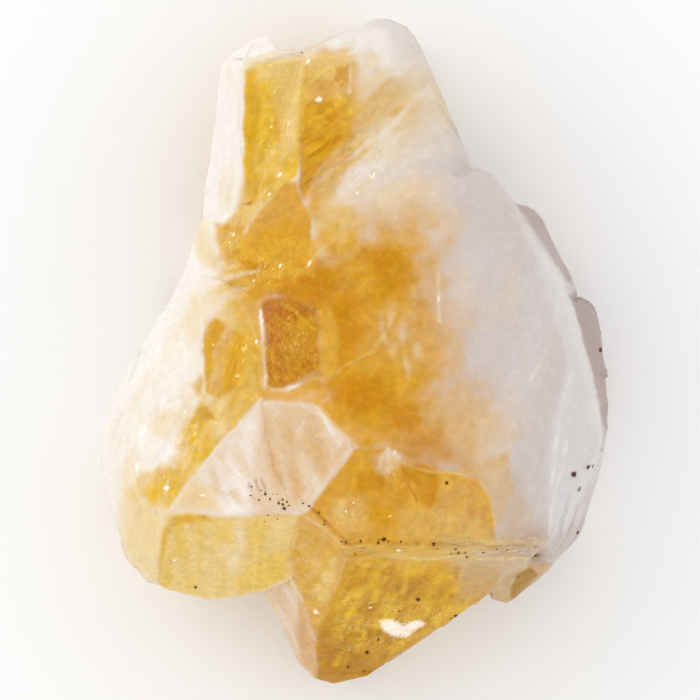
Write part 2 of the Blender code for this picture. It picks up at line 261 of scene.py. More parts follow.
# ---- Small plates that lie over all the rest, told in the same way -----------------------------------

ACCENTS = {
    "light across the neck": ("straw", 0.52, 7, [
        (270, 66), (304, 60), (350, 62), (350, 98), (302, 104), (298, 150), (282, 152), (274, 108)]),
    "warm middle of the pale facet": ("peach", 0.45, 8, [
        (262, 402), (286, 404), (300, 440), (304, 508), (262, 514), (252, 500), (256, 440)]),
    "lip of the pit": ("amber", 0.75, 3, [
        (258, 386), (290, 390), (319, 378), (328, 396), (318, 405), (300, 401), (262, 401)]),
    "light of the crest facet": ("straw", 0.30, 8, [
        (336, 496), (366, 492), (370, 532), (344, 536), (326, 518)]),
    "brow": ("amber", 0.75, 4, [
        (320, 404), (334, 398), (374, 440), (372, 447), (356, 448), (340, 428)]),
    "pit's foot": ("deep", 0.65, 4, [(290, 362), (322, 350), (326, 376), (304, 384), (288, 384)]),
    "beside the pit": ("amber", 0.70, 4, [(250, 306), (262, 306), (264, 352), (254, 352)]),
    "warm pink face": ("peach", 0.30, 8, [
        (270, 590), (292, 582), (304, 604), (314, 650), (300, 644)]),
    "light end of the crest facet": ("straw", 0.28, 9, [
        (396, 508), (440, 506), (486, 520), (488, 540), (400, 540)]),
    "spine": ("amber", 0.50, 4, [(299, 150), (311, 150), (318, 184), (320, 212), (306, 214)]),
    "above the lobe": ("amber", 0.40, 7, [(232, 290), (258, 290), (260, 318), (236, 318)]),
    "foot of the pink face": ("deep", 0.45, 5, [
        (298, 600), (304, 602), (316, 645), (318, 681), (302, 668), (296, 640)]),
    "gold face's heel": ("ochre", 0.45, 5, [
        (318, 626), (340, 606), (346, 640), (330, 676), (318, 680)]),
    "dark square of the neck": ("deep", 0.50, 2, [
        (337, 69), (348, 68), (349, 80), (343, 88), (334, 80)]),
    "dark arc of the neck": ("deep", 0.30, 3, [
        (309, 86), (318, 80), (334, 84), (336, 108), (320, 112), (309, 100)]),
    "lobe shard, top": ("gold", 0.75, 1.5, [(197, 408), (208, 406), (219, 420), (201, 417)]),
    "lobe shard, middle": ("lemon", 0.45, 3, [
        (184, 428), (196, 420), (204, 440), (200, 462), (190, 452)]),
    "lobe shard, low": ("lemon", 0.45, 2, [(187, 450), (214, 450), (196, 474), (186, 476)]),
    "glow in the pit": ("goldleaf", 0.40, 5, [
        (286, 322), (314, 316), (318, 346), (300, 366), (280, 352)]),
    "heart's left": ("deep", 0.50, 6, [(334, 300), (352, 296), (362, 330), (352, 352), (338, 344)]),
    "heart's roof": ("deep", 0.45, 4, [
        (374, 262), (384, 255), (404, 256), (411, 268), (413, 280), (400, 286), (384, 284), (376, 276)]),
    "heart, low right": ("deep", 0.55, 3, [
        (386, 404), (404, 400), (418, 406), (420, 428), (410, 434), (392, 424)]),
    "heart, low left": ("deep", 0.50, 5, [
        (320, 384), (360, 372), (396, 384), (392, 400), (360, 412), (336, 404)]),
    "crest facet, window": ("deep", 0.60, 2.5, [
        (402, 462), (424, 463), (436, 472), (437, 488), (430, 506), (420, 500), (412, 480)]),
    "knob facet": ("bronze", 0.92, 1.5, [
        (511, 600), (512, 586), (517, 576), (530, 567), (534, 572), (545, 580), (526, 592)]),
    "bright strip of the neck": ("honey", 0.60, 2, [
        (304, 66), (311, 70), (306, 96), (303, 124), (298, 134), (300, 100)]),
    "gold strip by the core": ("honey", 0.45, 4, [
        (336, 104), (352, 96), (364, 108), (350, 128), (338, 130)]),
    "pale plane of the lobe": ("milk", 0.55, 3, [(184, 378), (197, 390), (196, 406), (186, 402)]),
    "pale plane, low": ("straw", 0.60, 2, [(176, 446), (186, 430), (190, 448), (182, 470)]),
    "corner of the pit": ("deep", 0.45, 4, [
        (266, 350), (276, 366), (300, 378), (284, 388), (267, 387)]),
    "honey by the heart": ("honey", 0.50, 4, [
        (318, 340), (330, 306), (340, 330), (336, 372), (320, 378)]),
}

# ---- Wisps that run through the quartz: (colour, strength, size in millimetres, direction in degrees
# ---- above +X, stretch, outline).  Their random numbers come from their order here.

VEILS = {
    "over the upper heart": ("blush", 0.60, 0.9, 28, 4, [
        (316, 196), (440, 176), (456, 236), (400, 246), (330, 246)]),
    "heart's right side": ("peach", 0.60, 0.6, 62, 2.5, [
        (382, 306), (430, 240), (462, 300), (470, 440), (430, 440), (400, 380)]),
    "heart": ("honey", 0.20, 0.7, 48, 3, AREAS["heart"]),
    "heart's shade": ("deep", 0.55, 1.2, 20, 2, AREAS["heart"]),
    "feathers in the heart": ("blush", 0.70, 0.40, 96, 3, [
        (370, 318), (398, 306), (424, 320), (426, 366), (408, 384), (390, 352), (372, 336)]),
    "neck core": ("goldleaf", 0.60, 0.5, 62, 4, [(303, 66), (360, 60), (352, 136), (298, 136)]),
    "neck's top": ("straw", 0.60, 0.5, 50, 2, [(300, 58), (360, 40), (352, 74), (304, 78)]),
    "neck's right": ("goldleaf", 0.50, 0.7, 52, 4, [(342, 60), (372, 56), (420, 110), (350, 136)]),
    "white in the haze": ("milk", 0.45, 0.9, 40, 3, [(352, 56), (424, 56), (450, 150), (350, 180)]),
    "striated veil": ("honey", 0.60, 0.40, 37, 9, [
        (310, 196), (345, 134), (380, 134), (366, 176), (312, 222)]),
    "triangle": ("goldleaf", 0.70, 0.30, 37, 12, AREAS["triangle"]),
    "window": ("goldleaf", 0.55, 0.8, 84, 4, AREAS["window"]),
    "window's white": ("straw", 0.50, 0.35, 70, 3, [
        (262, 150), (296, 110), (290, 180), (258, 200)]),
    "waist": ("honey", 0.55, 0.35, 2, 10, [
        (240, 236), (312, 236), (312, 278), (280, 286), (205, 300)]),
    "under the waist": ("deep", 0.80, 0.8, 20, 2, [(240, 262), (316, 262), (320, 300), (262, 304)]),
    "left of the waist": ("milk", 0.70, 0.5, 12, 5, [
        (195, 262), (262, 270), (240, 300), (190, 300)]),
    "lobe's milk": ("milk", 0.55, 1.0, 66, 3.5, [
        (110, 420), (196, 286), (240, 300), (196, 470), (120, 500)]),
    "lobe's straw": ("straw", 0.40, 1.3, 74, 3, [
        (110, 420), (196, 286), (240, 300), (196, 510), (120, 560)]),
    "lobe's gold": ("goldleaf", 0.65, 0.6, 60, 3, [
        (206, 320), (262, 330), (262, 396), (190, 476), (180, 430)]),
    "pit": ("goldleaf", 0.48, 0.45, -42, 3, AREAS["pit"]),
    "pit's shade": ("pit", 0.50, 0.6, 38, 2, AREAS["pit"]),
    "pale facet": ("milk", 0.30, 1.4, -62, 2.5, AREAS["pale facet"]),
    "pale facet, peach": ("peach", 0.35, 0.9, -58, 4, AREAS["pale facet"]),
    "crest facet": ("honey", 0.45, 0.7, 66, 2, AREAS["crest facet"]),
    "crest facet, deep": ("deep", 0.60, 1.1, 80, 2, [
        (356, 450), (440, 470), (430, 530), (330, 520)]),
    "along the crest": ("straw", 0.45, 0.30, 1, 14, [
        (330, 530), (548, 534), (548, 566), (350, 566)]),
    "lower left": ("straw", 0.55, 0.35, 86, 12, AREAS["lower left"]),
    "lower left, lemon": ("lemon", 0.60, 0.7, 84, 4, AREAS["lower left"]),
    "middle facet": ("straw", 0.25, 0.6, 70, 3, AREAS["middle facet"]),
    "middle facet, gold": ("goldleaf", 0.60, 0.6, 20, 2, AREAS["middle facet"]),
    "pink face": ("milk", 0.70, 0.7, -66, 3, AREAS["pink face"]),
    "gold face": ("lemon", 0.60, 0.5, 72, 2.5, [
        (350, 560), (460, 560), (470, 610), (380, 660), (320, 640)]),
    "gold face, light": ("canary", 0.55, 0.35, 60, 2.5, [
        (340, 590), (440, 600), (430, 640), (370, 660), (330, 640)]),
    "gold face, shade": ("ochre", 0.80, 0.8, 60, 2, [
        (345, 580), (460, 570), (430, 640), (370, 680), (320, 680)]),
    # the cold wisps over the right body are painted sheen
    "right body": ("frost", 0.18, 1.6, 66, 4, [
        (440, 250), (540, 230), (606, 400), (560, 540), (500, 540)]),
    "right body, warm": ("blush", 0.35, 1.8, 80, 2, [
        (450, 260), (520, 260), (530, 420), (500, 500), (440, 440)]),
    "flap": ("straw", 0.45, 0.6, 84, 5, [(228, 66), (245, 66), (245, 210), (214, 215)]),
}

# ---- Small planes inside the quartz: (light colour, dark colour, strength, size in millimetres,
# ---- direction, stretch, outline).  Their random numbers come from their order too.

MOSAICS = {
    "neck core": ("canary", "deep", 0.50, 0.60, 32, 1.8, [
        (303, 60), (340, 52), (353, 64), (349, 90), (362, 104), (356, 120), (346, 134), (298, 137)]),
    "neck's right": ("straw", "amber", 0.45, 0.65, 45, 2.0, [
        (350, 62), (372, 56), (424, 110), (350, 136)]),
    "window": ("straw", "goldleaf", 0.30, 1.0, 82, 2.6, [
        (250, 72), (300, 62), (290, 178), (252, 200)]),
    "window's foot": ("straw", "goldleaf", 0.60, 0.5, 60, 1.8, [
        (258, 150), (296, 110), (288, 184), (246, 232)]),
    "triangle": ("canary", "deep", 0.35, 0.5, 37, 4, AREAS["triangle"]),
    "waist": ("honey", "deep", 0.30, 0.9, 4, 3, [
        (236, 240), (297, 185), (312, 240), (312, 264), (240, 264)]),
    "under the waist": ("honey", "deep", 0.55, 0.55, 12, 1.8, [
        (222, 256), (318, 256), (316, 278), (284, 284), (276, 304), (236, 300)]),
    "side hollow": ("honey", "deep", 0.60, 0.5, 60, 1.6, [
        (215, 220), (246, 226), (246, 264), (216, 262)]),
    "heart": ("honey", "deep", 0.25, 0.75, 52, 2.2, [
        (322, 240), (410, 240), (424, 430), (360, 440), (322, 380)]),
    "pit": ("goldleaf", "pit", 0.60, 0.50, -42, 2.4, [
        (264, 300), (320, 300), (320, 376), (268, 390)]),
    "lobe": ("straw", "goldleaf", 0.35, 0.6, 70, 2.4, [
        (212, 326), (262, 336), (262, 400), (190, 476), (184, 440)]),
    "lobe's yellow": ("milk", "goldleaf", 0.55, 0.45, 70, 1.8, [
        (160, 500), (196, 404), (216, 420), (190, 476)]),
    "lobe's white": ("glint", "straw", 0.22, 1.4, 70, 2.2, [
        (112, 430), (196, 290), (210, 330), (140, 500)]),
    "pale facet": ("milk", "peach", 0.40, 1.1, -60, 2.2, AREAS["pale facet"]),
    "lower left": ("honey", "goldleaf", 0.22, 0.9, 84, 3, AREAS["lower left"]),
    "middle facet": ("honey", "goldleaf", 0.50, 0.55, 64, 2, AREAS["middle facet"]),
    "pink face": ("milk", "peach", 0.45, 0.8, -66, 2.6, AREAS["pink face"]),
    "crest facet": ("honey", "deep", 0.50, 0.6, 74, 2, AREAS["crest facet"]),
    "gold face": ("canary", "ochre", 0.50, 0.5, 62, 2, [
        (350, 556), (462, 560), (470, 606), (370, 676), (318, 670)]),
    "gold foot": ("gold", "ochre", 0.60, 0.45, -20, 2.4, [
        (316, 640), (352, 620), (430, 630), (367, 680)]),
}

# ---- Lines: (colour, strength, width in pixels, height in millimetres, route) ------------------------

LINES = {
    "neck ridge": ("straw", 0.60, 2.0, 0.03, [
        (305, 64), (299, 100), (298, 118), (292, 160), (290, 178), (281, 187)]),
    "neck ridge, low": ("straw", 0.60, 2.0, 0.03, [(281, 187), (262, 208), (246, 232), (236, 243)]),
    "pit wall": ("glint", 0.85, 2.2, 0.0, [(262, 312), (263, 340), (265, 365), (266, 388)]),
    "milk outside the pit": ("honey", 0.45, 7, 0.0, [(258, 330), (261, 360), (262, 392)]),
    "lip of the pit": ("straw", 0.60, 2.2, 0.0, [(266, 390), (290, 388), (318, 377)]),
    "lobe ridge": ("straw", 0.65, 3, 0.03, [
        (222, 281), (240, 302), (250, 318), (256, 335), (262, 350)]),
    "lobe window's edge": ("milk", 0.45, 2.0, 0.02, [
        (202, 318), (203, 345), (204, 372), (206, 394)]),
    "pale facet's left edge": ("milk", 0.45, 2.0, 0.02, [
        (262, 398), (214, 452), (190, 480), (172, 507)]),
    "pale facet's right edge": ("blush", 0.55, 2.2, 0.02, [(354, 447), (312, 504)]),
    "heart's inner edge": ("honey", 0.55, 2.0, 0.0, [
        (318, 380), (345, 366), (372, 350), (384, 330), (396, 312)]),
    "brow edge": ("straw", 0.50, 2.6, 0.0, [(320, 406), (356, 447)]),
    "rust in the crest": ("rust", 0.60, 1.8, -0.03, [(313, 508), (332, 525), (352, 545)]),
    "pale beside the rust": ("straw", 0.65, 2.0, 0.02, [(304, 514), (330, 530), (346, 548)]),
    # painted shade: darker gold laid over the rounded edges, where they would catch the light
    "under the pale facet": ("honey", 0.50, 3, 0.0, [(224, 517), (262, 514), (300, 513)]),
    "under the crest line": ("goldleaf", 0.50, 3, 0.0, [(352, 548), (400, 549), (470, 550)]),
    "crest": ("bronze", 0.40, 1.8, -0.02, [(352, 542), (430, 543), (500, 545), (545, 546)]),
    "ledge under the crest": ("straw", 0.55, 2.0, 0.03, [(390, 556), (460, 557), (540, 558)]),
    "middle facet's edge": ("straw", 0.50, 2.0, 0.02, [(350, 547), (340, 578), (322, 618)]),
    "lower left seam": ("goldleaf", 0.55, 2.2, -0.02, [
        (297, 516), (292, 540), (289, 560), (290, 578)]),
    "wedge's arc": ("straw", 0.65, 2.0, 0.02, [
        (402, 463), (430, 470), (462, 474), (480, 484), (490, 500), (494, 524)]),
    "brown vein": ("rust", 0.36, 1.8, 0.0, [(262, 402), (267, 436), (275, 468), (285, 488)]),
    "brown vein, right": ("rust", 0.22, 1.8, 0.0, [(300, 422), (312, 436), (322, 440)]),
    "rusty comb": ("rust", 0.50, 1.8, -0.02, [(250, 482), (256, 497)]),
    "rusty comb, middle": ("rust", 0.50, 1.8, -0.02, [(255, 478), (262, 496)]),
    "rusty comb, right": ("rust", 0.45, 1.8, -0.02, [(261, 477), (268, 495)]),
    "clear veil's rim": ("milk", 0.45, 2.4, 0.0, [(300, 428), (308, 410), (322, 414), (334, 432)]),
    "crack": ("rust", 0.60, 1.6, -0.04, [(402, 465), (407, 476), (410, 485), (416, 500)]),
    "neck streak": ("milk", 0.60, 2.4, 0.0, [(350, 62), (351, 78), (350, 95)]),
    "right streak": ("glint", 0.50, 2.6, 0.0, [(438, 275), (438, 298), (439, 320)]),
    "light along the right edge": ("milk", 0.22, 8, 0.0, [
        (516, 214), (548, 262), (566, 300), (578, 340), (588, 380), (594, 420)]),
    "faint line on the right": ("milk", 0.40, 2.8, 0.0, [(558, 305), (548, 345), (530, 380)]),
    "double line": ("milk", 0.50, 3.2, 0.02, [(572, 372), (562, 400), (556, 440), (550, 484)]),
    "double line's twin": ("milk", 0.45, 2.6, 0.02, [
        (566, 440), (560, 470), (552, 500), (548, 532)]),
    "sweep over the spine": ("straw", 0.45, 2.6, 0.02, [
        (306, 268), (318, 254), (335, 240), (345, 220), (360, 190), (375, 172)]),
    "faint seam": ("straw", 0.35, 2.2, 0.0, [(322, 382), (345, 365), (375, 350), (395, 312)]),
}


# ---- Fine mesh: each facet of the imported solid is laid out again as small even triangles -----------

def merged_facets(source):
    """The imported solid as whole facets, its coplanar triangles joined again."""
    solid = bmesh.new()
    solid.from_mesh(source.data)
    bmesh.ops.remove_doubles(solid, verts=solid.verts, dist=1e-7)
    bmesh.ops.dissolve_limit(solid, angle_limit=math.radians(0.4), verts=solid.verts,
                             edges=solid.edges)
    return solid


def facet_step(face):
    if face.normal.z < BACK_FACING:
        return BACK_STEP
    return FRONT_STEP if face.normal.z > FRONT_FACING else FLANK_STEP


def lay_along_edges(solid, points):
    """Evenly spaced points on every edge, shared by the two facets that meet there."""
    along = {}
    for edge in solid.edges:
        step = min(facet_step(face) for face in edge.link_faces)
        start, end = (v.co / MM for v in edge.verts)
        count = max(1, round((end - start).length / step))
        row = [edge.verts[0].index]
        for i in range(1, count):
            row.append(len(points))
            points.append(start.lerp(end, i / count))
        row.append(edge.verts[1].index)
        along[edge.index] = row
    return along


def facet_axes(face):
    side = face.normal.orthogonal().normalized()
    return side, face.normal.cross(side)


def lattice_inside(loop, step, rng):
    """Points of a slightly shaken hexagonal lattice inside a closed loop, clear of its rim."""
    low, high = loop.min(0), loop.max(0)
    rows = np.arange(low[1], high[1], step * LATTICE_ROW)
    spots = []
    for i, y in enumerate(rows):
        xs = np.arange(low[0] + step / 2 * (i % 2), high[0], step)
        spots.append(np.column_stack([xs, np.full(len(xs), y)]))
    if not spots:
        return np.zeros((0, 2))
    spots = np.vstack(spots)
    spots += rng.uniform(-LATTICE_SHAKE, LATTICE_SHAKE, spots.shape) * step
    distance = signed_distance(spots, loop)
    return spots[distance < -RIM_GAP * step]


def signed_distance(spots, loop):
    """Distance to a closed outline, negative inside."""
    nearest = np.full(len(spots), np.inf)
    inside = np.zeros(len(spots), bool)
    for start, end in zip(loop, np.roll(loop, -1, axis=0)):
        run = end - start
        away = spots - start
        share = np.clip(away @ run / max(run @ run, 1e-12), 0, 1)
        nearest = np.minimum(nearest, np.hypot(*(away - share[:, None] * run).T))
        crosses = (start[1] > spots[:, 1]) != (end[1] > spots[:, 1])
        if start[1] != end[1]:
            cut = start[0] + (spots[:, 1] - start[1]) * run[0] / (end[1] - start[1])
            inside ^= crosses & (spots[:, 0] < cut)
    return np.where(inside, -nearest, nearest)


def facet_rim(face, along):
    """The facet's outline as point numbers, in order."""
    rim = []
    for corner in face.loops:
        row = along[corner.edge.index]
        rim += row[:-1] if row[0] == corner.vert.index else row[:0:-1]
    return rim


def lay_out_facet(face, rim, points, rng):
    """Even triangles over one facet.  Adds its inner points and returns its triangles."""
    side, up = facet_axes(face)
    middle = face.calc_center_median() / MM
    offsets = [points[i] - middle for i in rim]
    outline = np.array([(o.dot(side), o.dot(up)) for o in offsets], np.float32).astype(float)
    inner = lattice_inside(outline, facet_step(face), rng)
    spots = [Vector(p) for p in np.vstack([outline, inner])]
    ring = list(range(len(rim)))
    edges = [(i, (i + 1) % len(rim)) for i in ring]
    numbers = rim + list(range(len(points), len(points) + len(inner)))
    points += [middle + side * x + up * y for x, y in inner]
    _, _, made, originals, _, _ = delaunay_2d_cdt(spots, edges, [], 0, 1e-9, True)
    flat = np.array([[originals[i][0] for i in corners] for corners in made])
    places = np.array([tuple(s) for s in spots])
    kept = flat[signed_distance(places[flat].mean(1), outline) < 0]
    a, b, c = (places[kept[:, k]] for k in range(3))
    backward = (b - a)[:, 0] * (c - a)[:, 1] < (b - a)[:, 1] * (c - a)[:, 0]
    kept[backward] = kept[backward][:, ::-1]
    return np.array(numbers)[kept]


def fine_mesh(source):
    """Points and triangles of the refined stone, in millimetres."""
    solid = merged_facets(source)
    solid.verts.index_update()
    solid.edges.index_update()
    rng = np.random.default_rng(SEED)
    points = [v.co / MM for v in solid.verts]
    along = lay_along_edges(solid, points)
    triangles = [lay_out_facet(face, facet_rim(face, along), points, rng) for face in solid.faces]
    solid.free()
    return np.array([tuple(p) for p in points]), np.vstack(triangles)


# ---- Relief ---------------------------------------------------------------------------------------

FLANK_WAVES = 0.16      # heights in millimetres
FLANK_RIPPLES = 0.03
FLANK_PLATES = 0.20
SURFACE_WAVES = 0.022
SURFACE_RIPPLES = 0.010
PIT_DEPTH = 0.12

STRIATIONS = {
    # (one of the directions in RUNS, strength of the threads, height in millimetres, outline)
    "neck core": ("rising", 0.6, 0.0, [(299, 62), (352, 60), (350, 136), (298, 137)]),
    "neck's triangle": ("rising", 1.0, 0.035, [(299, 139), (346, 134), (322, 172), (304, 206)]),
    "veil by the triangle": ("rising", 0.8, 0.020, [
        (320, 172), (346, 134), (400, 130), (372, 176), (306, 214)]),
    "right of the neck": ("rising", 0.4, 0.012, [(345, 170), (440, 120), (500, 190), (380, 232)]),
    "window": ("steep", 0.35, 0.0, AREAS["window"]),
    "waist": ("level", 0.5, 0.025, [(225, 232), (312, 228), (312, 296), (205, 296)]),
    "heart": ("rising", 0.25, 0.0, [(322, 220), (420, 210), (430, 430), (322, 380)]),
    "pit": ("falling", 0.9, 0.0, AREAS["pit threads"]),
    "pit's cross": ("rising", 0.6, 0.0, AREAS["pit threads"]),
    "lobe window": ("steep", 0.7, 0.0, [(203, 318), (246, 336), (240, 396), (204, 396)]),
    "lobe": ("steep", 0.35, 0.015, [(130, 400), (200, 300), (250, 420), (190, 480), (120, 500)]),
    "flank of the lobe": ("steep", 0.4, 0.0, [(110, 420), (150, 420), (160, 590), (120, 570)]),
    "pale facet": ("falling", 0.4, 0.010, AREAS["pale facet"]),
    "lower left facet": ("steep", 0.6, 0.014, AREAS["lower left facet"]),
    "middle facet": ("steep", 0.6, 0.0, [(300, 515), (350, 547), (318, 640), (292, 574)]),
    "pink face": ("falling", 0.5, 0.0, AREAS["pink face"]),
    "crest facet": ("level", 0.3, 0.012, [(356, 450), (490, 480), (492, 543), (332, 524)]),
    "along the crest": ("level", 0.9, 0.010, [(330, 530), (548, 534), (552, 566), (350, 564)]),
    "gold face": ("steep", 0.8, 0.0, [(350, 560), (470, 566), (460, 606), (390, 656), (322, 660)]),
    "gold foot": ("falling", 0.35, 0.012, [(340, 620), (430, 610), (390, 656), (322, 682)]),
    "broad face": ("steep", 0.25, 0.012, [
        (470, 250), (560, 290), (600, 430), (520, 540), (460, 440)]),
}
RUNS = {"rising": 37, "steep": 72, "level": 2, "falling": -48}     # degrees above +X

SUNKEN = {
    # hollows that are shallow to the eye: (share of their depth that is filled, outline)
    "pit": (0.97, [(258, 296), (323, 300), (325, 378), (260, 394)]),
    "side hollow": (0.96, [(211, 216), (244, 220), (246, 270), (211, 268)]),
    "neck triangle": (0.92, [(296, 134), (350, 132), (304, 212)]),
    "crest end": (0.97, [
        (518, 548), (552, 534), (578, 546), (572, 566), (548, 580), (522, 586), (506, 574)]),
}
BLENDED = {
    # joins of lumps that the real stone doesn't show: (whether undercuts are blended too, outline)
    "neck triangle": (False, [
        (292, 128), (354, 126), (340, 158), (322, 186), (304, 216), (292, 200)]),
    "pit": (False, [(257, 290), (330, 290), (336, 384), (270, 398), (260, 392)]),
    "crest end": (True, [(498, 534), (566, 526), (584, 556), (566, 576), (520, 596), (498, 590)]),
    "side hollow": (False, [(208, 214), (246, 218), (248, 272), (208, 270)]),
    "spine": (False, [
        (306, 190), (336, 190), (340, 290), (352, 400), (346, 440), (324, 398), (322, 300)]),
}
GIRTH = 18.0            # the stone's mean radius, which turns an angle around it into millimetres
FORESHORTENED = 0.35    # how much of a height's difference counts in marks that are seen from above
BLEND_LEVEL = 5.0       # in millimetres: undercuts above this level are blended too
SWELL_PASSES = 90       # smoothing passes over the broad face,
BLEND_PASSES = 120      # over the joins of lumps,
EDGE_PASSES = 2         # over the sharp edges
FLANK_PASSES = 50       # and over the colours of the flanks
BROAD_FACE = [(322, 200), (420, 100), (505, 205), (556, 275), (592, 410), (552, 528), (400, 440),
              (322, 372)]
SHARDED = {
    # where the stone broke in small plates: (outline, size, turn, stretch, height in millimetres)
    "neck window": ([(244, 62), (303, 60), (288, 190), (248, 206)], 1.5, 70, 2.2, 0.09),
    "neck": ([(303, 60), (352, 60), (350, 130), (298, 137)], 1.1, 30, 1.6, 0.08),
    "waist": (
        [(235, 243), (290, 185), (312, 240), (318, 300), (250, 310), (215, 270)], 1.2, 10, 2.0, 0.09),
    "lobe": (
        [(110, 400), (200, 290), (262, 330), (262, 400), (170, 510), (115, 520)], 1.7, 62, 2.4, 0.09),
    "pit": ([(262, 303), (320, 308), (320, 374), (266, 388)], 1.0, -35, 2.0, 0.16),
    "crest": ([(330, 535), (548, 535), (548, 566), (350, 566)], 0.8, 0, 3.0, 0.06),
    "crest facet": (AREAS["crest facet"], 2.0, -15, 1.6, 0.05),
    "gold foot": ([(316, 640), (352, 600), (470, 590), (367, 680), (318, 684)], 0.9, -25, 1.8, 0.12),
    "lower left": (AREAS["lower left facet"], 2.2, 84, 1.8, 0.04),
    "flap": ([(205, 70), (245, 50), (240, 200), (200, 220)], 1.4, 75, 2.4, 0.10),
}

PIT_RUNS = {
    # lines along which small brown pits gather: (strength, spread in pixels, route)
    "apex": (1.0, 7, [(252, 488), (280, 502), (308, 503)]),
    "under the apex": (0.6, 6, [(262, 520), (292, 512)]),
    "rusty crest": (0.8, 3, [(318, 514), (354, 552)]),
    "crest": (0.75, 4, [(360, 540), (400, 541), (466, 552), (508, 550)]),
    "gold face": (0.30, 22, [(400, 604), (456, 604), (386, 640), (330, 660)]),
    "foot edge": (0.6, 4, [(472, 606), (420, 640), (383, 666), (350, 676)]),
    "by the knob": (0.5, 5, [(508, 600), (518, 574), (534, 572)]),
}
# Larger pits: (right, down, radius), all in pixels
LONE_PITS = [(319, 511, 1.6), (325, 520, 1.4), (346, 541, 1.6), (378, 541, 1.8), (385, 537, 1.5),
             (458, 552, 1.6), (466, 556, 1.4), (399, 611, 1.4), (360, 637, 1.4), (378, 640, 1.6),
             (348, 668, 1.8), (382, 668, 1.6), (573, 474, 3.0), (579, 489, 2.8), (588, 467, 2.6),
             (593, 466, 2.2), (602, 450, 1.8), (578, 533, 2.0), (446, 482, 2.0), (196, 587, 1.8),
             (601, 350, 2.4), (456, 616, 2.2), (418, 599, 2.2), (367, 653, 2.2), (433, 543, 2.2),
             (383, 538, 2.2), (285, 507, 2.0)]

SPARKLING = {
    # outlines where small inner cracks flash, the cracks real and their flashes painted reflection:
    # (strength, outline)
    "neck": (0.6, [(262, 60), (360, 46), (350, 112), (264, 110)]),
    "window foot": (0.9, [(262, 118), (296, 112), (290, 184), (256, 204)]),
    "neck veil": (0.7, [(345, 164), (385, 164), (370, 212), (345, 220)]),
    "waist foot": (1.0, [(250, 256), (318, 256), (316, 280), (250, 290)]),
    "side hollow": (0.8, [(216, 222), (246, 228), (240, 264), (220, 264)]),
    "pit": (0.6, [(268, 305), (318, 310), (318, 370), (268, 392)]),
    "lobe": (0.8, [(130, 330), (190, 310), (196, 400), (216, 480), (150, 500), (130, 460)]),
    "by the lobe ridge": (0.9, [(232, 330), (262, 330), (262, 400), (236, 400)]),
    "pale facet": (0.8, [(226, 470), (250, 464), (248, 520), (214, 520)]),
    "bruise": (0.9, [(372, 446), (402, 448), (400, 476), (372, 476)]),
    "crest facet": (0.7, [(336, 496), (360, 490), (362, 530), (336, 524)]),
    "gold face": (1.0, [(340, 590), (440, 596), (452, 616), (400, 650), (352, 650), (330, 628)]),
    "middle facet": (0.7, [(296, 540), (340, 560), (318, 630), (296, 600)]),
    "lower left": (0.5, [(166, 530), (284, 530), (286, 572), (166, 580)]),
}

# The one large painted reflection, with a crisp outline
GOLD_FACE_REFLECTION = [(381, 621), (392, 621), (404, 626), (420, 621), (424, 625), (412, 632), (406, 637),
                   (392, 636), (383, 629)]

GLINTS = {
    # crisp painted highlights: (half length and half width in pixels, direction in degrees above +X,
    # middle)
    "side hollow": (5, 3, 50, (234, 235)), "side hollow low": (4, 1.6, 10, (230, 243)),
    "neck": (6, 4.5, 20, (319, 101)), "neck ridge top": (5, 3, 60, (308, 63)),
    "chip": (4, 3, 0, (234, 68)), "chip edge": (6, 2.5, 10, (254, 58)),
    "window": (3, 2, 40, (272, 128)), "window right": (3.5, 2, 70, (289, 124)),
    "window foot": (5, 3, 30, (280, 176)), "window corner": (4, 2.5, 50, (270, 195)),
    "veil": (9, 2, 62, (373, 177)), "veil low": (7, 1.6, 66, (357, 194)),
    "waist foot": (5, 2, 55, (281, 266)), "spine foot": (6, 2.2, 68, (310, 264)),
    "left of the waist": (5, 1.8, 5, (254, 281)), "lobe ridge": (4, 2.5, 80, (257, 342)),
    "lobe window top": (2.6, 2, 0, (214, 344)), "lobe window side": (2.6, 2, 0, (238, 376)),
    "pool": (6, 4, 10, (168, 487)), "pool's right": (4, 3, 0, (204, 494)),
    "lobe brush": (12, 3, 66, (158, 350)), "lobe brush low": (10, 4, 70, (144, 430)),
    "lobe brush foot": (8, 4, 80, (138, 466)), "lower left": (5, 2, 84, (175, 560)),
    "lower left, right": (5, 1.8, 84, (284, 552)),
    "apex facet": (4, 2, 60, (346, 510)), "apex facet, top": (3, 1.5, 20, (353, 501)),
    "under the crest": (6, 2.4, 0, (398, 549)), "crest facet": (4, 2, 0, (390, 515)),
    "middle facet": (7, 3.5, 74, (316, 612)), "foot": (3, 1.6, -10, (348, 650)),
    "gold face": (3, 2, 0, (370, 607)), "right streak": (18, 1.4, 88, (438, 298)),
}


def on_table(places):
    """Pixels of the photograph as millimetres across and along the table."""
    right, down = np.asarray(places, float).T[:2]
    return np.column_stack([right - PHOTO_ORIGIN[0], PHOTO_ORIGIN[1] - down]) * PHOTO_MM


def ease(low, high, values):
    share = np.clip((values - low) / (high - low), 0, 1)
    return share * share * (3 - 2 * share)


def dice(cells, seed):
    """A random value from 0 to 1 for each whole-numbered cell, the same each run."""
    key = cells @ HASH_FACTORS[:cells.shape[1]] + seed * 9176
    key = ((key ^ (key >> 13)) * 1274126177) & 0xFFFFFFFF
    key = ((key ^ (key >> 16)) * 2246822519) & 0xFFFFFFFF
    return (key ^ (key >> 15)) % 4096 / 4095


def cloud(spots, size, seed):
    """Smooth random values, about -1 to 1, with lumps of the given size."""
    cell = np.asarray(spots) / size + GRID_SHIFT
    corner = np.floor(cell).astype(np.int64)
    share = cell - corner
    share = share * share * (3 - 2 * share)
    total = np.zeros(len(cell))
    for step in itertools.product((0, 1), repeat=cell.shape[1]):
        weight = np.prod(np.where(step, share, 1 - share), axis=1)
        total += weight * (2 * dice(corner + step, seed) - 1)
    return total


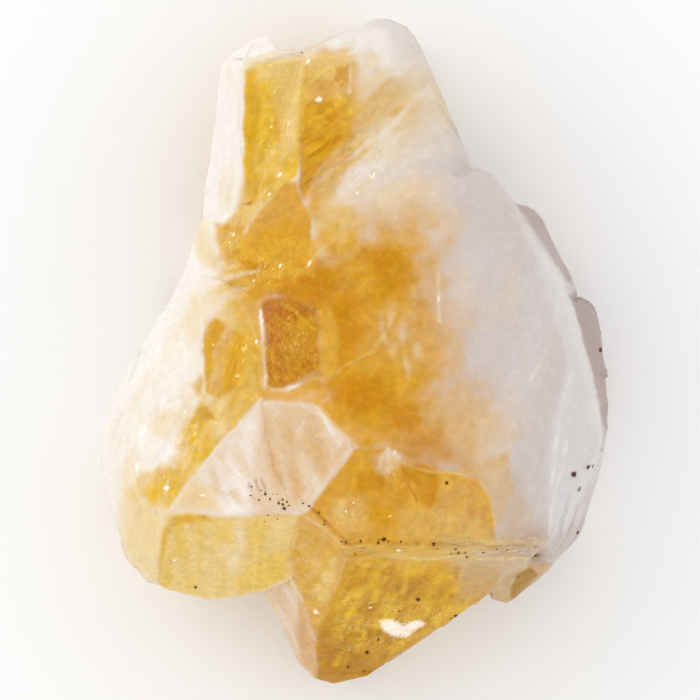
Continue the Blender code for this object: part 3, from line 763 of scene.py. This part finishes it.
def shards(flat, size, seed, turn=0.0, stretch=1.0):
    """Straight-edged random cells.  Gives each point its cell, and its place from the cell's middle."""
    angle = math.radians(turn)
    along, over = (math.cos(angle), math.sin(angle)), (-math.sin(angle), math.cos(angle))
    places = np.column_stack([flat @ along / stretch, flat @ over]) / size + GRID_SHIFT
    corner = np.floor(places).astype(np.int64)
    nearest = np.full(len(flat), np.inf)
    home = corner.copy()
    offset = np.zeros_like(places)
    for step in itertools.product((-1, 0, 1), repeat=2):
        cell = corner + step
        away = places - cell - np.column_stack([dice(cell, seed), dice(cell, seed + 1)])
        distance = (away ** 2).sum(1)
        nearer = distance < nearest
        nearest[nearer], home[nearer], offset[nearer] = distance[nearer], cell[nearer], away[nearer]
    return home, offset * size


def fractal(spots, size, seed, layers=4):
    """Random values in layers, each half as large and half as strong as the one before."""
    wide_enough = [i for i in range(layers) if size / 2 ** i > FINEST]
    return sum(cloud(spots, size / 2 ** i, seed + i) / 2 ** i for i in wide_enough) * 0.6


def route_distance(spots, route):
    """Distance to an open route of straight runs."""
    nearest = np.full(len(spots), np.inf)
    for start, end in zip(route, route[1:]):
        run = end - start
        away = spots - start
        share = np.clip(away @ run / (run @ run), 0, 1)
        nearest = np.minimum(nearest, np.hypot(*(away - share[:, None] * run).T))
    return nearest


def turned(flat, turn):
    """Places along and across a direction given in degrees above +X."""
    angle = math.radians(turn)
    return flat @ (math.cos(angle), math.sin(angle)), flat @ (-math.sin(angle), math.cos(angle))


def wisps(flat, size, turn, stretch, seed):
    """Long soft threads along a direction, from 0 between them to 1 on them."""
    run, across = turned(shaken(flat, 2.0, 0.35, seed), turn)
    threads = fractal(np.column_stack([run / stretch, across]), size, seed + 3, 4)
    return ease(-0.30, 0.55, threads)


def triangle_facings(points, triangles):
    """Each triangle's direction, as long as twice its area."""
    a, b, c = (points[triangles[:, k]] for k in range(3))
    return np.cross(b - a, c - a)


def gathered(values, triangles, count):
    """Each point's sum of what the triangles around it hold."""
    return np.column_stack([
        sum(np.bincount(triangles[:, k], column, count) for k in range(3)) for column in values.T])


def point_normals(points, triangles):
    total = gathered(triangle_facings(points, triangles), triangles, len(points))
    return total / np.linalg.norm(total, axis=1, keepdims=True)


def mesh_edges(triangles):
    pairs = np.vstack([triangles[:, [0, 1]], triangles[:, [1, 2]], triangles[:, [2, 0]]])
    return np.unique(np.sort(pairs, axis=1), axis=0)


def smoothed(values, edges, passes, share):
    """Values drawn towards the mean of their neighbours, by a share of their own at each point."""
    edges = edges[(share[edges] > 0).any(axis=1)]
    ends = np.concatenate([edges[:, 0], edges[:, 1]])
    others = np.concatenate([edges[:, 1], edges[:, 0]])
    count = np.maximum(np.bincount(ends, minlength=len(values)), 1)
    values = values.copy()
    for _ in range(passes):
        columns = values.reshape(len(values), -1)
        mean = np.column_stack([
            np.bincount(ends, column[others], len(values)) / count for column in columns.T])
        values += share.reshape((-1,) + (1,) * (values.ndim - 1)) * (mean.reshape(values.shape) - values)
    return values


def crease_share(points, triangles, edges):
    """1 along the stone's sharp edges, falling to 0 over a few steps of the mesh."""
    facing = triangle_facings(points, triangles)
    facing /= np.maximum(np.linalg.norm(facing, axis=1, keepdims=True), 1e-12)
    total = gathered(facing, triangles, len(points))
    around = np.bincount(triangles.ravel(), minlength=len(points))
    bend = 1 - np.linalg.norm(total, axis=1) / around
    return ease(0.002, 0.06, smoothed(bend, edges, 2, np.full(len(points), 0.6)) * 1.6)


def above_or_below(points, place):
    """Each point's height over the surface at a place, drawn in so that marks reach down steep sides."""
    away = np.hypot(*(points[:, :2] - place).T)
    return FORESHORTENED * (points[:, 2] - points[np.argmin(away - 0.02 * points[:, 2]), 2])


def lone_pits(points):
    """1 in the middle of the larger pits, 0.5 on their rims and 0 outside."""
    share = np.zeros(len(points))
    for across, down, radius in LONE_PITS:
        place = on_table([(across, down)])[0]
        away = np.column_stack([points[:, :2] - place, above_or_below(points, place)])
        share = np.maximum(share, 1 - np.linalg.norm(away, axis=1) / (radius * PHOTO_MM) / 2)
    return share


def pit_crowd(flat):
    """How thick the smallest pits are at each point, which the material draws one by one."""
    crowd = np.zeros(len(flat))
    for strength, spread, route in PIT_RUNS.values():
        distance = route_distance(flat, on_table(route)) / (spread * PHOTO_MM)
        crowd = np.maximum(crowd, strength * np.exp(-distance ** 2))
    return crowd


def lights(points):
    """1 in the middle of the painted highlights, 0.5 on their rims and 0 outside."""
    flat = points[:, :2]
    share = np.zeros(len(flat))
    for length, width, turn, middle in GLINTS.values():
        place = on_table([middle])[0]
        run, across = turned(flat - place, turn)
        depth = np.abs(above_or_below(points, place))
        distance = (np.abs(run) / length + (np.abs(across) + depth) / width) / PHOTO_MM
        share = np.maximum(share, 1 - distance / 2)
    distance = signed_distance(shaken(flat, 0.6, 0.08, 171), on_table(GOLD_FACE_REFLECTION))
    share = np.maximum(share, 0.68 - distance)
    return np.clip(share, 0, 1)


def sparkle_share(flat):
    loose = shaken(flat, 1.0, 0.3, 161)
    share = np.zeros(len(flat))
    for strength, outline in SPARKLING.values():
        distance = signed_distance(loose, on_table(outline))
        share = np.maximum(share, strength * ease(0.4, -0.5, distance))
    return share


def striated(flat):
    """How strong the fine threads are in each direction, which the material draws."""
    loose = shaken(flat, 1.0, 0.3, 191)
    shares = {name: np.zeros(len(flat)) for name in RUNS}
    for name, strength, _, outline in STRIATIONS.values():
        inside = strength * ease(0.4, -0.6, signed_distance(loose, on_table(outline)))
        shares[name] = np.maximum(shares[name], inside)
    return shares


def plates_height(cell, offset, slope):
    """Small plates, each a little higher or lower than the next and tilted at random."""
    tilts = np.column_stack([dice(cell, 53), dice(cell, 54)]) - 0.5
    return dice(cell, 55) - 0.5 + (tilts * offset).sum(1) * slope


def flank_relief(points):
    """The waves and broken plates of the sides, over the angle around the stone and the height."""
    waves = FLANK_WAVES * fractal(points, 2.6, 3, 2) + FLANK_RIPPLES * fractal(points, 1.0, 9, 1)
    around = np.column_stack([GIRTH * np.arctan2(points[:, 1], points[:, 0]), points[:, 2]])
    cell, offset = shards(around, 3.0, 59, 25, 1.7)
    return waves + FLANK_PLATES * plates_height(cell, offset, 0.9)


def striation_relief(flat):
    height = np.zeros(len(flat))
    for run_name, _, depth, outline in STRIATIONS.values():
        if not depth:
            continue
        inside = ease(0.5, -0.9, signed_distance(flat, on_table(outline)))
        run, across = turned(flat, RUNS[run_name])
        fine = cloud(np.column_stack([run / 14, across]), 0.34, 41)
        coarse = cloud(np.column_stack([run / 10, across]), 0.9, 43)
        height += inside * depth * (fine + coarse)
    return height


def shard_relief(flat):
    height = np.zeros(len(flat))
    for outline, size, turn, stretch, step in SHARDED.values():
        inside = ease(0.6, -0.6, signed_distance(flat, on_table(outline)))
        cell, offset = shards(flat, size, 51, turn, stretch)
        height += inside * step * plates_height(cell, offset, 2.2 / size)
    return height


def ridge_relief(flat):
    height = np.zeros(len(flat))
    for _, _, width, ridge, route in LINES.values():
        if ridge:
            distance = route_distance(flat, on_table(route)) / (width * PHOTO_MM)
            height += ridge * np.exp(-distance ** 2)
    return height


def relief(points, normals, flat):
    """How far each point stands proud of the plain stone, along its normal."""
    upward = ease(0.15, 0.6, normals[:, 2])
    flank = ease(0.75, 0.2, normals[:, 2])
    front = striation_relief(flat) + shard_relief(flat) + ridge_relief(flat)
    front -= PIT_DEPTH * ease(0.3, 0.8, lone_pits(points))
    waves = SURFACE_WAVES * fractal(points, 1.7, 21) + SURFACE_RIPPLES * fractal(points, 0.45, 31, 2)
    return flank * flank_relief(points) + waves + upward * front


def levelled(points, share, outline):
    """Lifts a hollow towards the plane through its rim."""
    distance = signed_distance(points[:, :2], outline)
    rim = points[(distance > 0) & (distance < 0.5) & (share > 0.3)]
    slope = np.linalg.lstsq(np.column_stack([rim[:, :2], np.ones(len(rim))]), rim[:, 2], rcond=None)[0]
    gap = points[:, :2] @ slope[:2] + slope[2] - points[:, 2]
    lifted = points.copy()
    lifted[:, 2] += np.clip(gap, 0, None) * share * ease(0.1, -0.1, distance)
    return lifted


def weathered(points, triangles, edges):
    """The plain stone with its edges worn, its broad face swelling and its fine relief."""
    base = points[:, 2] < FLAT_BACK
    crease = crease_share(points, triangles, edges)
    broad = ease(0.2, -1.2, signed_distance(points[:, :2], on_table(BROAD_FACE)))
    broad *= ease(0.5, 0.8, point_normals(points, triangles)[:, 2])
    worn = smoothed(points, edges, SWELL_PASSES, np.where(base, 0, 0.5 * broad))
    upward = ease(-0.2, 0.2, point_normals(worn, triangles)[:, 2])
    for share, outline in SUNKEN.values():
        worn = levelled(worn, share * upward, on_table(outline))
    for undercuts, outline in BLENDED.values():
        inside = ease(0.3, -0.3, signed_distance(worn[:, :2], on_table(outline)))
        facing = upward
        if undercuts:
            facing = np.maximum(upward, ease(BLEND_LEVEL, BLEND_LEVEL + 3, worn[:, 2]))
        worn = smoothed(worn, edges, BLEND_PASSES, 0.60 * inside * facing)
    worn = smoothed(worn, edges, EDGE_PASSES, np.where(base, 0, 0.35 * crease))
    normals = point_normals(worn, triangles)
    height = np.where(base, 0, relief(worn, normals, worn[:, :2]))
    worn = worn + normals * height[:, None]
    worn[base, 2] = 0
    worn[:, 2] = np.maximum(worn[:, 2], 0)
    return worn, crease


# ---- Colours and clearness, point by point --------------------------------------------------------

def linear(name):
    """A colour's linear light values from its sRGB hex code."""
    code = COLOURS[name]
    srgb = np.array([int(code[i:i + 2], 16) for i in (0, 2, 4)]) / 255
    return np.where(srgb <= 0.04045, srgb / 12.92, ((srgb + 0.055) / 1.055) ** 2.4)


CLEARNESS = {"canary": 0.10, "lemon": 0.18, "goldleaf": 0.18, "gold": 0.18, "ochre": 0.24,
             "honey": 0.15, "amber": 0.12, "deep": 0.14, "pit": 0.14, "straw": 0.10, "bronze": 0.15,
             "peach": 0.06}
MILKY_CLEARNESS = 0.04      # of all other colours
BARE_CLEARNESS = 0.05       # of the stone before any colour is laid


def lay(coat, clear, colour, share):
    """Lays one colour over the coat, with the clearness that quartz of that colour has."""
    coat += (linear(colour) - coat) * share[:, None]
    clear += (CLEARNESS.get(colour, MILKY_CLEARNESS) - clear) * share


def shaken(flat, size, reach, seed):
    """Places moved about at random, so that what is laid there gets a natural edge."""
    moved = [fractal(flat, size, seed + step, 3) for step in (0, 7)]
    return flat + reach * np.column_stack(moved)


def lay_clouds(flat, coat, clear):
    loose = shaken(flat, 2.4, 1.1, 61)
    fine = fractal(flat, 1.5, 67, 5)
    for colour, strength, softness, middle, radii, turn in CLOUDS.values():
        away = loose - on_table([middle])[0]
        run, across = turned(away, turn)
        distance = np.hypot(run / radii[0], across / radii[1]) / PHOTO_MM + 0.26 * fine
        lay(coat, clear, colour, strength * ease(1 + softness / 3, 1 - softness, distance))


def lay_plates(plates, flat, coat, clear):
    loose = shaken(flat, 0.9, 0.16, 71)
    for colour, strength, blur, outline in plates.values():
        distance = signed_distance(loose, on_table(outline)) / (blur * PHOTO_MM)
        lay(coat, clear, colour, strength * ease(0.8, -0.8, distance))


def lay_veils(flat, coat, clear):
    for seed, (colour, strength, size, turn, stretch, outline) in enumerate(VEILS.values(), 200):
        inside = ease(0.5, -0.9, signed_distance(flat, on_table(outline)))
        lay(coat, clear, colour, strength * inside * wisps(flat, size, turn, stretch, 5 * seed))


def lay_mosaics(flat, coat, clear):
    """Each small plane is a little lighter or darker than the next, and fades from one side."""
    loose = shaken(flat, 0.8, 0.10, 181)
    for seed, (light, dark, strength, size, turn, stretch, outline) in enumerate(MOSAICS.values(), 400):
        inside = strength * ease(0.4, -0.6, signed_distance(loose, on_table(outline)))
        cell, offset = shards(loose, size, 5 * seed, turn, stretch)
        tone = dice(cell, 5 * seed + 2)
        fade = ease(0.6, -0.3, offset[:, 1] / size)
        lay(coat, clear, light, inside * fade * ease(0.50, 0.95, tone))
        lay(coat, clear, dark, inside * fade * ease(0.50, 0.05, tone))


def lay_lines(flat, coat, clear):
    loose = shaken(flat, 1.2, 0.12, 81)
    broken = 0.35 + 0.65 * ease(-0.35, 0.25, fractal(flat, 1.3, 83))
    for colour, strength, width, _, route in LINES.values():
        distance = route_distance(loose, on_table(route)) / (width * PHOTO_MM)
        lay(coat, clear, colour, strength * broken * ease(0.95, 0.3, distance))


def steepness(normals):
    """1 on the flanks and 0 on the front."""
    return ease(0.32, 0.08, normals[:, 2])


def drift(points, normals):
    """How far from its own place a point takes its colours: on steep sides from a little further in."""
    steep = steepness(normals)[:, None]
    inward = -points[:, :2] / np.linalg.norm(points[:, :2], axis=1, keepdims=True)
    wander = np.column_stack([fractal(points, 3.4, 201, 3), fractal(points, 3.4, 211, 3)])
    return steep * (0.6 * inward + 1.2 * wander + 2.0 * inward * np.abs(wander[:, :1]))


def painted(points, normals, edges, crease):
    """What the material reads at each point: its colour, and how clear, gold, sparkling and pitted."""
    flat = points[:, :2] + drift(points, normals)
    seen = ease(0.0, 0.3, normals[:, 2])
    # painted shade: the milk turns lilac towards the right, the side away from the light
    painted_shade_share = ease(-9, 9, flat[:, 0] - 0.1 * flat[:, 1] + 2.5 * fractal(points, 3.0, 91))
    coat = linear("milk") + (linear("lilac") - linear("milk")) * painted_shade_share[:, None]
    clear = np.full(len(points), BARE_CLEARNESS)
    lay_clouds(flat, coat, clear)
    lay_plates(PLATES, flat, coat, clear)
    lay_veils(flat, coat, clear)
    lay_mosaics(flat, coat, clear)
    lay_plates(ACCENTS, flat, coat, clear)
    coat = smoothed(coat, edges, FLANK_PASSES, 0.7 * steepness(normals))
    gold = ease(0.45, 0.92, (coat[:, 0] - coat[:, 2]) / coat[:, 0])
    coat *= (1 + 0.09 * gold * fractal(points, 0.9, 111) + 0.04 * fractal(points, 0.5, 121))[:, None]
    worn = 0.07 * crease * (1 - 0.7 * gold)
    lay(coat, clear, "milk", worn * ease(-0.4, 0.4, fractal(points, 1.4, 131)))
    lay_lines(flat, coat, clear)
    pits = lone_pits(points)
    lay(coat, clear, "rust", 0.30 * ease(0.1, 0.6, pits))
    hidden = ease(0.25, -0.25, normals[:, 2])
    lay(coat, clear, "pale", hidden * 0.45 * ease(-0.4, 0.5, fractal(points, 4.0, 141)))
    shares = {
        "tint": np.clip(coat, 0, 1),
        "clear": np.clip(clear, 0, 1),
        "gold": gold,
        "sparkle": seen * sparkle_share(flat),
        "pitted": (0.4 + 0.6 * seen) * pit_crowd(flat),
        "pits": pits,
        "lights": seen * lights(points),
    }
    return shares | striated(flat)


# ---- The stone and its material -------------------------------------------------------------------

MILKY_THREAD = (0.95, 0.92, 0.88, 1.0)      # linear colours
GOLD_THREAD = (0.88, 0.54, 0.03, 1.0)
# the colours of the cracks' flashes, painted reflection
MILKY_CRACK = (1.0, 0.97, 0.93, 1.0)
GOLD_CRACK = (1.0, 0.80, 0.30, 1.0)
# the colour of the painted highlights
LIGHT = (1.0, 0.955, 0.87, 1.0)
PIT_BROWN = (0.06, 0.02, 0.01, 1.0)
ABSORPTION = (0.98, 0.84, 0.20, 1.0)
ABSORPTION_DENSITY = 120.0      # for each metre of quartz
QUARTZ_IOR = 1.54
SURFACE_SHINE = 0.05            # the specular level, low because the surface is finely frosted


class Nodes:
    """Short calls that add and join shader nodes."""

    def __init__(self, material):
        self.tree = material.node_tree
        self.tree.nodes.clear()

    def add(self, kind, settings=None, **inputs):
        """Adds a node.  Inputs are values or other nodes' outputs, spaces written as underscores."""
        node = self.tree.nodes.new(kind)
        for name, value in (settings or {}).items():
            setattr(node, name, value)
        for name, value in inputs.items():
            self.put(node.inputs[name.replace("_", " ")], value)
        return node

    def put(self, socket, value):
        if isinstance(value, bpy.types.NodeSocket):
            self.tree.links.new(value, socket)
        else:
            socket.default_value = value

    def point_value(self, name, output="Fac"):
        return self.add("ShaderNodeAttribute", {"attribute_name": name}).outputs[output]

    def ramp(self, value, low, high, to_low=0.0, to_high=1.0):
        node = self.add("ShaderNodeMapRange", Value=value, From_Min=low, From_Max=high,
                        To_Min=to_low, To_Max=to_high)
        return node.outputs["Result"]

    def maths(self, operation, a, b):
        node = self.add("ShaderNodeMath", {"operation": operation})
        self.put(node.inputs[0], a)
        self.put(node.inputs[1], b)
        return node.outputs[0]

    def mix(self, share, a, b, blend="MIX"):
        node = self.add("ShaderNodeMix", {"data_type": "RGBA", "blend_type": blend})
        for socket, value in zip((node.inputs[0], node.inputs[6], node.inputs[7]), (share, a, b)):
            self.put(socket, value)
        return node.outputs[2]

    def noise(self, place, size, detail=4.0, rough=0.6):
        node = self.add("ShaderNodeTexNoise", Vector=place, Scale=1 / (size * MM), Detail=detail,
                        Roughness=rough)
        return node.outputs["Fac"]


def stretched(nodes, place, turn, reach):
    """Places squeezed along one direction, so that noise over them makes long streaks."""
    node = nodes.add("ShaderNodeMapping", {"vector_type": "TEXTURE"}, Vector=place,
                     Rotation=(0, 0, math.radians(turn)), Scale=(reach, 1, 1))
    return node.outputs[0]


def thread_tones(nodes, place):
    """Fine light threads and fine dark ones, along each direction where the points ask for them."""
    light, dark = 0.0, 0.0
    for name, turn in RUNS.items():
        share = nodes.point_value(name)
        threads = nodes.noise(stretched(nodes, place, turn, 12), 0.22, 2, 0.55)
        raised = nodes.maths("MULTIPLY", share, nodes.ramp(threads, 0.53, 0.75))
        light = nodes.maths("ADD", light, raised)
        sunk = nodes.maths("MULTIPLY", share, nodes.ramp(threads, 0.47, 0.25))
        dark = nodes.maths("ADD", dark, sunk)
    return light, dark


def inner_cracks(nodes, place, sparkle):
    """White flashes of small cracks, the cracks real and their flash painted reflection: short threads
    in two directions, in patches.
    """
    rising = nodes.noise(stretched(nodes, place, 48, 4), 0.20, 3, 0.6)
    falling = nodes.noise(stretched(nodes, place, -65, 5), 0.17, 3, 0.6)
    flash = nodes.ramp(nodes.maths("MAXIMUM", rising, falling), 0.585, 0.68)
    patches = nodes.ramp(nodes.noise(place, 1.1, 3), 0.47, 0.62)
    return nodes.maths("MULTIPLY", nodes.maths("MULTIPLY", flash, patches), sparkle)


def small_pits(nodes, place, pitted):
    """Dark ragged specks, as thick as the points say."""
    shake = nodes.add("ShaderNodeTexNoise", Vector=place, Scale=1 / (0.12 * MM)).outputs["Color"]
    reach = 0.16 * MM
    ragged = nodes.add("ShaderNodeVectorMath", {"operation": "MULTIPLY_ADD"})
    for socket, value in zip(ragged.inputs, (shake, (reach, reach, reach), place)):
        nodes.put(socket, value)
    cells = nodes.add("ShaderNodeTexVoronoi", Vector=ragged.outputs[0], Scale=1 / (0.34 * MM))
    chance = nodes.add("ShaderNodeSeparateColor", Color=cells.outputs["Color"]).outputs[0]
    there = nodes.ramp(nodes.maths("SUBTRACT", pitted, chance), 0.25, 0.30)
    return nodes.maths("MULTIPLY", nodes.ramp(cells.outputs["Distance"], 0.36, 0.26), there)


def crisp_marks(nodes, place):
    """Painted highlights and pits, whose rims are made ragged finer than the mesh."""
    ragged = nodes.ramp(nodes.noise(place, 0.18, 3), 0.25, 0.75, -0.22, 0.22)
    shine = nodes.ramp(nodes.maths("ADD", nodes.point_value("lights"), ragged), 0.50, 0.75)
    rim = nodes.maths("MULTIPLY", ragged, 0.5)
    hole = nodes.ramp(nodes.maths("ADD", nodes.point_value("pits"), rim), 0.46, 0.58)
    return shine, nodes.maths("MAXIMUM", hole, small_pits(nodes, place, nodes.point_value("pitted")))


def threaded_colour(nodes, grain, light, dark):
    """The points' colour, with light and dark threads and a fine grain."""
    gold = nodes.point_value("gold")
    bright = nodes.mix(gold, MILKY_THREAD, GOLD_THREAD)
    colour = nodes.mix(nodes.maths("MULTIPLY", light, 0.45), nodes.point_value("tint", "Color"), bright)
    depth = nodes.maths("MULTIPLY", dark, nodes.ramp(gold, 0, 1, 0.3, 1.0))
    colour = nodes.mix(1.0, colour, nodes.ramp(depth, 0, 1, 1.0, 0.66), "MULTIPLY")
    swing = nodes.ramp(grain, 0.30, 0.70, -1, 1)
    swing = nodes.maths("MULTIPLY", swing, nodes.ramp(gold, 0, 1, 0.02, 0.09))
    return nodes.mix(1.0, colour, nodes.maths("ADD", swing, 1.0), "MULTIPLY")


def marked(nodes, colour, cracks, shine, pits):
    """The colour with cracks, painted highlights and pits laid over it."""
    flash = nodes.mix(nodes.point_value("gold"), MILKY_CRACK, GOLD_CRACK)
    for share, strength, tone in ((cracks, 0.85, flash), (shine, 0.80, LIGHT), (pits, 0.92, PIT_BROWN)):
        colour = nodes.mix(nodes.maths("MULTIPLY", share, strength), colour, tone)
    return colour


def quartz_material():
    material = bpy.data.materials.new("citrine_quartz")
    material.use_nodes = True
    nodes = Nodes(material)
    place = nodes.add("ShaderNodeTexCoord").outputs["Object"]
    grain = nodes.noise(place, 0.60, 3, 0.55)
    light, dark = thread_tones(nodes, place)
    cracks = inner_cracks(nodes, place, nodes.point_value("sparkle"))
    shine, pits = crisp_marks(nodes, place)
    colour = marked(nodes, threaded_colour(nodes, grain, light, dark), cracks, shine, pits)

    raised = nodes.maths("ADD", nodes.noise(place, 0.40, 2, 0.4), nodes.maths("MULTIPLY", light, 0.4))
    surface = nodes.maths("SUBTRACT", raised, pits)
    bump = nodes.add("ShaderNodeBump", Strength=0.25, Distance=0.04 * MM, Height=surface)
    opaque = nodes.maths("MAXIMUM", nodes.maths("MAXIMUM", cracks, shine), pits)
    clear = nodes.maths("MULTIPLY", nodes.point_value("clear"), nodes.ramp(opaque, 0, 0.5, 1, 0.1))
    skin = nodes.add(
        "ShaderNodeBsdfPrincipled", Base_Color=colour, Roughness=nodes.ramp(grain, 0.2, 0.8, 0.12, 0.38),
        IOR=QUARTZ_IOR, Normal=bump.outputs["Normal"], Transmission_Weight=clear)
    skin.inputs["Specular IOR Level"].default_value = SURFACE_SHINE
    inside = nodes.add("ShaderNodeVolumeAbsorption", Color=ABSORPTION, Density=ABSORPTION_DENSITY)
    nodes.add("ShaderNodeOutputMaterial", Surface=skin.outputs[0], Volume=inside.outputs[0])
    return material


def stone_object(points, triangles, values):
    mesh = bpy.data.meshes.new("citrine_stone")
    mesh.from_pydata((points * MM).tolist(), [], triangles.tolist())
    mesh.shade_smooth()
    coat = values.pop("tint")
    tint = mesh.attributes.new("tint", "FLOAT_COLOR", "POINT")
    tint.data.foreach_set("color", np.column_stack([coat, np.ones(len(coat))]).ravel())
    for name, share in values.items():
        mesh.attributes.new(name, "FLOAT", "POINT").data.foreach_set("value", share)
    mesh.materials.append(quartz_material())
    stone = bpy.data.objects.new("citrine_stone", mesh)
    bpy.context.collection.objects.link(stone)
    return stone


def build_stone(source):
    points, triangles = fine_mesh(source)
    edges = mesh_edges(triangles)
    points, crease = weathered(points, triangles, edges)
    normals = point_normals(points, triangles)
    print("stone:", len(points), "points,", len(triangles), "triangles")
    return stone_object(points, triangles, painted(points, normals, edges, crease))


# ---- Floor, light and camera ----------------------------------------------------------------------

FLOOR_SIDE = 3.0                # metres
FLOOR_LEVEL = -0.0001           # metres: a hair under the table, clear of the stone's flat back
CAMERA_HEIGHT = 1.2             # metres over the table
OUTLINE_LEVEL = 12.0            # the height of the stone's outline, where a pixel is PHOTO_MM
SENSOR = 36.0                   # of the camera, in millimetres
SKY_SIDES = 1.22                # the studio's light from its walls
SKY_TOP = 0.70                  # and from its dark ceiling, which the facets would mirror


def pale_floor():
    bpy.ops.mesh.primitive_plane_add(size=FLOOR_SIDE, location=(0, 0, FLOOR_LEVEL))
    floor = bpy.context.object
    floor.name = "pale_floor"
    paint = bpy.data.materials.new("pale_floor")
    paint.use_nodes = True
    surface = paint.node_tree.nodes["Principled BSDF"]
    surface.inputs["Base Color"].default_value = (0.92, 0.92, 0.92, 1)
    surface.inputs["Roughness"].default_value = 0.9
    surface.inputs["Specular IOR Level"].default_value = 0.1
    floor.data.materials.append(paint)
    return floor


def soft_light(name, place, side, power):
    """A square lamp, turned to the stone.  Its place and side are in metres, its power in watts."""
    lamp = bpy.data.lights.new(name, "AREA")
    lamp.size = side
    lamp.energy = power
    holder = bpy.data.objects.new(name, lamp)
    holder.location = place
    holder.rotation_euler = Vector(place).to_track_quat("Z", "Y").to_euler()
    bpy.context.collection.objects.link(holder)


def studio():
    world = bpy.data.worlds.new("studio")
    world.use_nodes = True
    nodes = Nodes(world)
    direction = nodes.add("ShaderNodeTexCoord").outputs["Generated"]
    upward = nodes.add("ShaderNodeSeparateXYZ", Vector=direction).outputs["Z"]
    strength = nodes.ramp(upward, 0.70, 0.93, SKY_SIDES, SKY_TOP)
    sky = nodes.add("ShaderNodeBackground", Color=(1, 1, 1, 1), Strength=strength)
    nodes.add("ShaderNodeOutputWorld", Surface=sky.outputs[0])
    bpy.context.scene.world = world
    bpy.context.scene.view_settings.view_transform = "Standard"
    soft_light("window_light", (-0.70, 0.55, 0.60), 0.6, 1.2)


def photo_camera():
    """Looks straight down, so that a pixel is PHOTO_MM wide at the level of the stone's outline."""
    lens = bpy.data.cameras.new("photo_camera")
    lens.sensor_width = SENSOR
    seen = PHOTO_SIDE * PHOTO_MM
    lens.lens = SENSOR * (CAMERA_HEIGHT / MM - OUTLINE_LEVEL) / seen
    camera = bpy.data.objects.new("photo_camera", lens)
    middle = on_table([(PHOTO_SIDE / 2, PHOTO_SIDE / 2)])[0] * MM
    camera.location = (middle[0], middle[1], CAMERA_HEIGHT)
    bpy.context.collection.objects.link(camera)
    bpy.context.scene.camera = camera


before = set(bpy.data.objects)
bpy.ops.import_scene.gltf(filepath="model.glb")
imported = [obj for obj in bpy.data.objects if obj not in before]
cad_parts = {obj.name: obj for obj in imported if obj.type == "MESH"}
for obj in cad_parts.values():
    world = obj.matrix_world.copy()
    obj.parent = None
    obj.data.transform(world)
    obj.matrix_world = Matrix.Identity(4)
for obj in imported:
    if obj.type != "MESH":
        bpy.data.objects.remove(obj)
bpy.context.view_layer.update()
stone = build_stone(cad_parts[NODE])
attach(stone, "root")
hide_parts(NODE)
pale_floor()
studio()
photo_camera()
